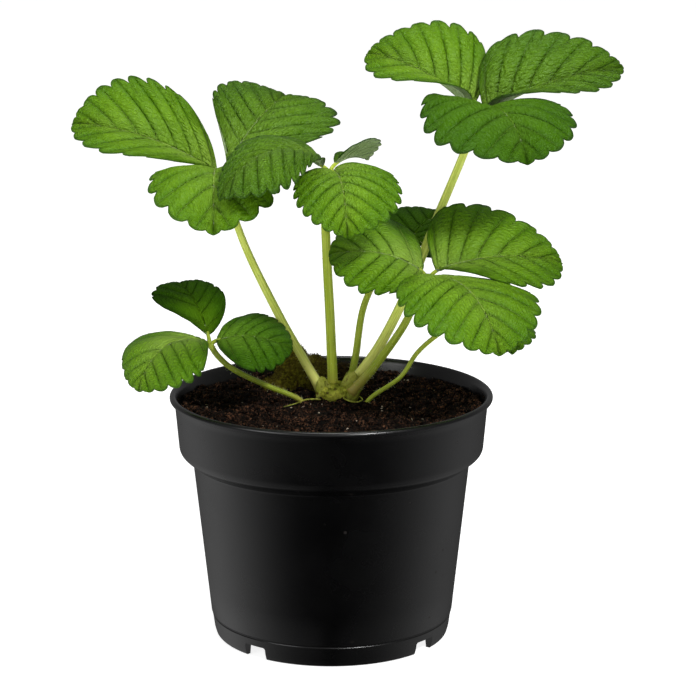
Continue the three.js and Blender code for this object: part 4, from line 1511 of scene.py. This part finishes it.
LEAVES = (
    Leaf(
        "left_high",
        (
            (-3.5, 3.5, 91.5), (-9.5, 6, 101.5), (-19, 8, 118.5),
            (-30, 9, 141), (-36, 9, 157), (-40.5, 8, 172),
        ),
        (1.9, 1.3),
        (
            Leaflet(
                "outer", (-42, 8, 173.5), (-95.5, 14, 190.5),
                Half(15, shoulder=0.34, fold=(58, 16), curl=10, head=0.9, teeth=5, toothed=0.45),
                Half(22.5, shoulder=0.6, fold=(24, 18), curl=10, head=0.9, teeth=7, toothed=0.36, heel=0.3),
                roll=-46, bow=7, seed=1,
            ),
            Leaflet(
                "back", (-38.5, 12, 175), (-17.5, 48, 197),
                Half(23, shoulder=0.02, fold=(15, 10), curl=15, head=1.3, teeth=5, toothed=0.52),
                Half(31, shoulder=0.4, fold=(22, 16), curl=20, teeth=5, toothed=0.48),
                roll=16, bow=4, skin=Skin.WRINKLED, seed=2,
            ),
            Leaflet(
                "front", (-42, 5, 172), (-41, -38, 158),
                Half(24, fold=(8, 8), curl=25, teeth=5),
                Half(24, shoulder=0.5, fold=(8, 8), curl=25, teeth=5),
                bow=12, seed=3,
            ),
        ),
        Finish.STALK_PALE,
    ),
    Leaf(
        "centre",
        ((0.5, 3, 90), (0.3, 2, 100), (-0.5, -2, 122), (-1.5, -5, 143), (-2, -7, 162), (-0.5, -8, 176)),
        (1.9, 1.5),
        (
            Leaflet(
                "left", (-2.9, -9.2, 178.2), (-39.3, -36.5, 170),
                Half(24, shoulder=0.36, fold=(12, 0), curl=38, head=1.15, teeth=8, toothed=0.36),
                Half(18, shoulder=0.85, fold=(35, 3), curl=18, head=0.3, teeth=7),
                bow=11.5, skin=Skin.WRINKLED, quilt=1.3, seed=4,
            ),
            Leaflet(
                "front", (0.5, -12, 176.5), (6, -42, 157.5),
                Half(22, shoulder=0.5, fold=(28, 12), curl=40, teeth=7),
                Half(18, shoulder=0.6, fold=(14, 7), curl=40, teeth=7),
                bow=9, quilt=1.3, seed=5,
            ),
            Leaflet(
                "right", (1.5, -5, 178.5), (13.5, 10, 177.5),
                Half(7, shoulder=0.3, fold=(10, 10), curl=10, teeth=4),
                Half(12, shoulder=0.6, fold=(50, 42), curl=15, teeth=5, toothed=0.5),
                bow=2, skin=Skin.DEEP, seed=6,
            ),
        ),
    ),
    Leaf(
        "right_high",
        ((6, 3.5, 92), (18, 6, 108.5), (29, 8, 130.5), (39, 9, 156), (48, 8, 178.5), (53.5, 6, 194)),
        (2.1, 1.5),
        (
            Leaflet(
                "left", (51.2, 10, 196.4), (13, 17.5, 215.8),
                Half(16.5, shoulder=0.36, fold=(100, 14), curl=10, head=0.9, teeth=4, toothed=0.5),
                Half(25.6, shoulder=1.5, fold=(24, 14), curl=20, head=0.85, teeth=7, toothed=0.3, heel=0.08),
                roll=-40, bow=6, seed=7,
            ),
            Leaflet(
                "right", (56.6, 6.6, 195.4), (107, 11, 211.4),
                Half(24.4, shoulder=1.35, fold=(24, 8), curl=20, head=0.66, teeth=6, toothed=0.32, heel=0.07),
                Half(12.5, shoulder=0.4, fold=(107, 12), curl=10, head=0.74, teeth=5, toothed=0.5),
                roll=47, bow=6, skin=Skin.WRINKLED, seed=8,
            ),
            Leaflet(
                "front", (53.5, 4, 194.5), (69, -38, 183),
                Half(25, shoulder=0.5, fold=(22, 10), curl=25, toothed=0.36),
                Half(33, shoulder=0.62, fold=(38, 0), curl=25, head=1.1),
                bow=10, skin=Skin.DEEP, seed=9,
            ),
        ),
        Finish.STALK_PALE,
    ),
    Leaf(
        "right",
        ((7.5, -1, 92), (16, -3, 102.5), (26, -8, 118), (31.8, -11.5, 131), (35.2, -12.9, 137.2)),
        (1.8, 1.3),
        (
            Leaflet(
                "left", (33.2, -12, 140.3), (-1, -14, 146.5),
                Half(23, shoulder=0.6, fold=(10, 10), curl=25, teeth=5),
                Half(21.5, shoulder=0.86, fold=(12, 8), curl=25, head=0.92, teeth=4, toothed=0.6),
                roll=-30, bow=5, seed=10,
            ),
            Leaflet(
                "outer", (38, -12, 140.6), (84.5, -4.6, 142),
                Half(27.3, shoulder=1.25, fold=(20, 10), curl=20, head=0.6, teeth=6, toothed=0.32),
                Half(18.5, shoulder=0.3, fold=(34, 10), curl=15, head=1.14, teeth=5, toothed=0.5),
                roll=34, bow=5, seed=11,
            ),
            Leaflet(
                "front", (37.5, -17.6, 139.4), (59.3, -53, 118),
                Half(26.4, shoulder=0.72, fold=(-9, 13), curl=28, head=0.98, teeth=6, toothed=0.44),
                Half(30.2, shoulder=0.74, fold=(8, 8), curl=27, head=1.12, teeth=7),
                bow=9, seed=12,
            ),
        ),
        Finish.STALK_DARK,
    ),
    Leaf(
        "back",
        ((6.4, 8.6, 91), (9, 11, 102.5), (12, 16, 120.5), (18.5, 19.5, 133.5), (25, 21.5, 138)),
        (1.4, 1.1),
        (
            Leaflet(
                "left", (23.4, 23, 141.2), (6.5, 24, 148.5),
                Half(15, shoulder=0.5, curl=15, teeth=5),
                Half(15, shoulder=0.5, curl=15, teeth=5),
                roll=-20, skin=Skin.SHADED, seed=13,
            ),
            Leaflet(
                "middle", (27.5, 24.5, 141), (43, 48, 151.5),
                Half(17, shoulder=0.6, fold=(15, 15), curl=15, teeth=5),
                Half(17, shoulder=0.6, fold=(5, 5), curl=15, teeth=5),
                skin=Skin.SHADED, seed=14,
            ),
            Leaflet(
                "right", (29.3, 19.6, 139.3), (52.5, 24, 134),
                Half(14, shoulder=0.5, curl=15, teeth=5),
                Half(14, shoulder=0.5, curl=15, teeth=5),
                skin=Skin.SHADED, seed=15,
            ),
        ),
    ),
    Leaf(
        "right_low",
        (
            (10.5, -4, 85), (15, -2, 90.5), (25.5, 0, 97.5),
            (31.5, 0, 106.5), (37.5, -1, 112.5), (43.2, -3.8, 117.2),
        ),
        (0.9, 0.9),
        (
            Leaflet(
                "back", (40.8, -0.6, 120.6), (33, 22, 121),
                Half(8, shoulder=0.45, curl=15, teeth=5),
                Half(8, shoulder=0.45, curl=15, teeth=5),
                seed=16,
            ),
            Leaflet(
                "outer", (46.8, -2.4, 119.6), (66.5, 24.5, 124),
                Half(9, shoulder=0.5, curl=15, teeth=5),
                Half(15, shoulder=0.5, curl=15, teeth=5),
                seed=17,
            ),
            Leaflet(
                "front", (44.5, -6.5, 119), (65, -34, 114.4),
                Half(21, shoulder=0.6, fold=(4, 4), curl=25),
                Half(18, shoulder=0.6, fold=(8, 8), curl=25),
                bow=6, seed=18,
            ),
        ),
        Finish.STALK,
        120,
    ),
    Leaf(
        "left_low",
        (
            (-8, -3, 85.5), (-12.5, -4, 90.5), (-23, -6, 95.5),
            (-35, -8, 102), (-41, -8, 107), (-44.4, -8, 112),
        ),
        (1, 1.2),
        (
            Leaflet(
                "front", (-47.2, -8.8, 113.6), (-69.6, -27, 98.6),
                Half(26, fold=(5, 5), curl=25, head=1.3, teeth=5, toothed=0.55),
                Half(23, shoulder=1, fold=(8, 4), curl=25, teeth=3, toothed=0.74),
                bow=8, seed=19,
            ),
            Leaflet(
                "back", (-45, -6, 115), (-57, 18, 130),
                Half(15, shoulder=0.2, fold=(10, 5), curl=15, teeth=3, toothed=0.66),
                Half(12, shoulder=0.5, fold=(12, 12), curl=15, teeth=4, toothed=0.58),
                skin=Skin.SHADED, seed=20,
            ),
            Leaflet(
                "right", (-41.8, -8.4, 113.8), (-14, -10, 110),
                Half(17, shoulder=0.6, fold=(12, 5), curl=20, teeth=5, toothed=0.5),
                Half(19.5, shoulder=0.6, fold=(0, 0), curl=15, head=1.2, teeth=4, toothed=0.6),
                roll=20, bow=4, skin=Skin.DEEP, seed=21,
            ),
        ),
        Finish.STALK_DARK,
        140,
    ),
)


# The crown

@dataclass(frozen=True)
class Sheath:
    """A papery flap that wraps the foot of a stalk and ends in a point."""

    foot: Point
    top: Point
    radius: float
    wrap: float
    facing: float


@dataclass
class Crown:
    """The short thick stem on its rootstock, with papery sheaths and a few fine roots."""

    centre: tuple[float, float] = (1.6, 2.6)
    radius: float = 5.6
    top: float = 95.0
    rootstock_foot: float = 70.0
    soil_level: float = 87.0
    sheaths: tuple[Sheath, ...] = (
        Sheath((-2.9, 3.0, 89.0), (-4.6, 3.2, 97.5), 3.0, 150.0, -70.0),
        Sheath((0.3, 2.6, 88.5), (0.3, 1.6, 96.5), 3.1, 130.0, -140.0),
        Sheath((5.2, 2.8, 89.5), (8.6, 3.4, 99.5), 3.3, 160.0, -95.0),
        Sheath((6.6, 0.2, 89.0), (10.4, -0.6, 97.0), 2.8, 150.0, -60.0),
        Sheath((5.8, 7.8, 89.0), (7.2, 9.4, 97.5), 2.5, 150.0, 100.0),
    )
    roots: tuple[tuple[Point, ...], ...] = (
        ((4.5, -3.5, 90.5), (6.0, -7.5, 90.6), (9.0, -8.8, 90.2), (11.5, -6.0, 90.4), (10.5, -3.0, 91.0)),
        ((-4.0, -2.0, 89.5), (-9.0, -5.5, 90.4), (-13.0, -8.5, 89.6), (-17.5, -9.5, 88.6)),
    )

    def build(self) -> None:
        """Builds the stem, the sheaths and the roots."""
        radius, top = self.radius, self.top
        stem = ring_form(
            "crown_stem",
            [
                (1.0, self.rootstock_foot),
                (2.5, self.rootstock_foot + 1.0),
                (4.0, self.rootstock_foot + 8.0),
                (radius - 0.8, self.soil_level - 3.0),
                (radius - 0.2, self.soil_level),
                (radius, self.soil_level + 1.5),
                (radius + 0.5, self.soil_level + 3.0),
                (radius + 0.5, self.soil_level + 4.5),
                (radius, top - 2.2),
                (radius - 1.2, top - 1.0),
                (2.6, top - 0.3),
                (1.0, top),
            ],
            36,
        )
        finer = stem.modifiers.new("finer", "SUBSURF")
        finer.levels = 2
        finer.render_levels = 2
        settle(stem, merge=0.002, outwards=True)
        for vertex in stem.data.vertices:
            spot = vertex.co / MM
            lump = 1.0 * noise.noise(spot * 0.4) + 0.6 * noise.noise(spot * 1.1)
            vertex.co += vertex.normal * lump * MM
            vertex.co += Vector((*self.centre, 0.0)) * MM
        bpy.ops.object.shade_smooth()
        dress(stem, "crown", Finish.CROWN)
        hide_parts("crown")
        flaps = join([self.build_sheath(sheath) for sheath in self.sheaths], "crown_sheaths")
        dress(flaps, "crown", Finish.SHEATH)
        roots = join([self.build_root(route) for route in self.roots], "crown_roots")
        dress(roots, "crown", Finish.SHEATH)

    @staticmethod
    def build_sheath(sheath: Sheath) -> Object:
        """Builds one flap as a thin curved skin."""
        foot, top = Vector(sheath.foot), Vector(sheath.top)
        along = (top - foot).normalized()
        turn = math.radians(sheath.facing)
        out = Vector((math.cos(turn), math.sin(turn), 0.0))
        out = (out - along * out.dot(along)).normalized()
        side = along.cross(out)
        columns, rows = 16, 18

        def place(column: int, row: int) -> Vector:
            """Wraps a point round the stalk. The flap narrows to a point at its top."""
            share = row / rows
            open_to = math.radians(sheath.wrap) * (1.0 - share ** 2.4) ** 0.7
            angle = (column / columns - 0.5) * open_to
            reach = sheath.radius * (1.12 - 0.3 * share + 0.25 * share ** 4)
            reach += 0.35 * noise.noise(Vector((angle * 2.0, share * 3.0, sheath.radius * 9.0)))
            return foot.lerp(top, share) + (out * math.cos(angle) + side * math.sin(angle)) * reach

        flap = shaped_grid("flap", columns, rows, place, lambda c, r: (c / columns, r / rows))
        settle(flap, merge=0.004)
        skin = flap.modifiers.new("skin", "SOLIDIFY")
        skin.thickness = 0.3 * MM
        settle(flap)
        bpy.ops.object.shade_smooth()
        return flap

    @staticmethod
    def build_root(route: Sequence[Point]) -> Object:
        """Builds one fine pale root that loops over the soil."""
        path = smooth_route(route, 30)
        return tube("root", path, lambda share, angle: 0.32 * (1.0 - 0.5 * share), Vector((0.0, 0.0, 1.0)), 8)


# The studio

@dataclass(frozen=True)
class Lamp:
    """A soft rectangular light that faces a point."""

    name: str
    place: Point
    aim: Point
    size: tuple[float, float]
    watts: float

    def build(self) -> None:
        """Adds the light. Its places are in metres."""
        start_fresh()
        bpy.ops.object.light_add(type="AREA", location=self.place)
        lamp = bpy.context.object
        lamp.name = self.name
        lamp.data.shape = "RECTANGLE"
        lamp.data.size, lamp.data.size_y = self.size
        lamp.data.energy = self.watts
        way = Vector(self.aim) - Vector(self.place)
        lamp.rotation_euler = way.to_track_quat("-Z", "Y").to_euler()


@dataclass
class Studio:
    """A plain pale floor, soft lights and the camera. The floor's sizes are in metres."""

    camera_place: Point = (6.2, -880.0, 311.0)
    camera_pitch: float = 12.95
    image_width: float = 696.0
    focal_pixels: float = 2440.0
    sensor: float = 36.0
    floor_width: float = 40.0
    floor_level: float = -0.0002
    floor_grey: Colour = (0.6, 0.6, 0.6)
    floor_lift: float = 0.86
    sky: float = 0.2
    front_glow: float = 0.45
    left_wall: float = 0.74
    right_wall: float = 0.46
    lamps: tuple[Lamp, ...] = (
        Lamp("key", (0.55, -0.95, 1.05), (0.0, 0.0, 0.14), (0.2, 0.2), 14.0),
        Lamp("top", (0.0, 0.1, 1.3), (0.0, 0.0, 0.12), (0.5, 0.5), 5.5),
        Lamp("fill", (-0.9, -0.8, 0.7), (0.0, 0.0, 0.14), (0.6, 0.6), 4.5),
    )

    def build(self) -> None:
        """Adds the camera, the lights, the world's light and the floor."""
        start_fresh()
        place = tuple(part * MM for part in self.camera_place)
        tilt = (math.radians(90.0 - self.camera_pitch), 0.0, 0.0)
        bpy.ops.object.camera_add(location=place, rotation=tilt)
        camera = bpy.context.object
        camera.name = "camera"
        camera.data.sensor_width = self.sensor
        camera.data.lens = self.sensor * self.focal_pixels / self.image_width
        camera.data.clip_start = 0.01
        bpy.context.scene.camera = camera
        bpy.context.scene.view_settings.view_transform = "Standard"
        for lamp in self.lamps:
            lamp.build()
        self.light_world()
        self.lay_floor()

    def light_world(self) -> None:
        """Gives an even dim light from above, with a glow in front of the part.

        Below the floor's level, bright walls stand at both sides. The floor hides them from
        everything but reflections.
        """
        world = bpy.data.worlds.new("soft_room")
        world.use_nodes = True
        bpy.context.scene.world = world
        sheet = Sheet(world.node_tree)
        x, y, z = sheet.parts(sheet.node("ShaderNodeTexCoord").outputs["Generated"])
        wall = sheet.inside(y, (-0.95, 0.15), (0.2, 1.15))
        left = sheet.math("MULTIPLY", wall, sheet.step(x, -0.2, 0.0, self.left_wall, 0.0))
        right = sheet.math("MULTIPLY", wall, sheet.step(x, 0.0, 0.2, 0.0, self.right_wall))
        low = sheet.inside(z, (-1.15, -0.5), (-0.2, -0.1))
        below = sheet.math("MULTIPLY", sheet.math("ADD", left, right), low)
        front = sheet.step(y, -0.9, -0.3, self.front_glow, 0.0)
        ahead = sheet.math("MULTIPLY", front, sheet.step(z, 0.2, 0.45, 1.0, 0.0))
        sky = sheet.math("MULTIPLY", sheet.step(z, -0.14, -0.06), sheet.math("ADD", ahead, self.sky))
        back = world.node_tree.nodes["Background"]
        sheet.feed(back.inputs["Color"], WHITE)
        sheet.feed(back.inputs["Strength"], sheet.math("ADD", sky, below))

    def lay_floor(self) -> None:
        """Lays a wide plain floor under the pot."""
        start_fresh()
        bpy.ops.mesh.primitive_plane_add(size=self.floor_width, location=(0.0, 0.0, self.floor_level))
        floor = bpy.context.object
        floor.name = "floor"
        sheet = FinishSheet("floor")
        sheet.feed(sheet.shader.inputs["Emission Color"], WHITE)
        material = sheet.finish(self.floor_grey, 0.8, None, Emission_Strength=self.floor_lift)
        floor.visible_glossy = False
        floor.data.materials.append(material)


def main() -> None:
    """Builds the studio and the plant, in order."""
    logging.basicConfig(level=logging.INFO, format="%(message)s")
    Studio().build()
    pot = Pot()
    pot.build()
    soil = Soil(pot)
    soil.build()
    soil.build_crumbs()
    soil.build_fibres()
    MossClump(soil).build()
    Crown().build()
    for leaf in LEAVES:
        leaf.build()


if __name__ == "__main__":
    main()
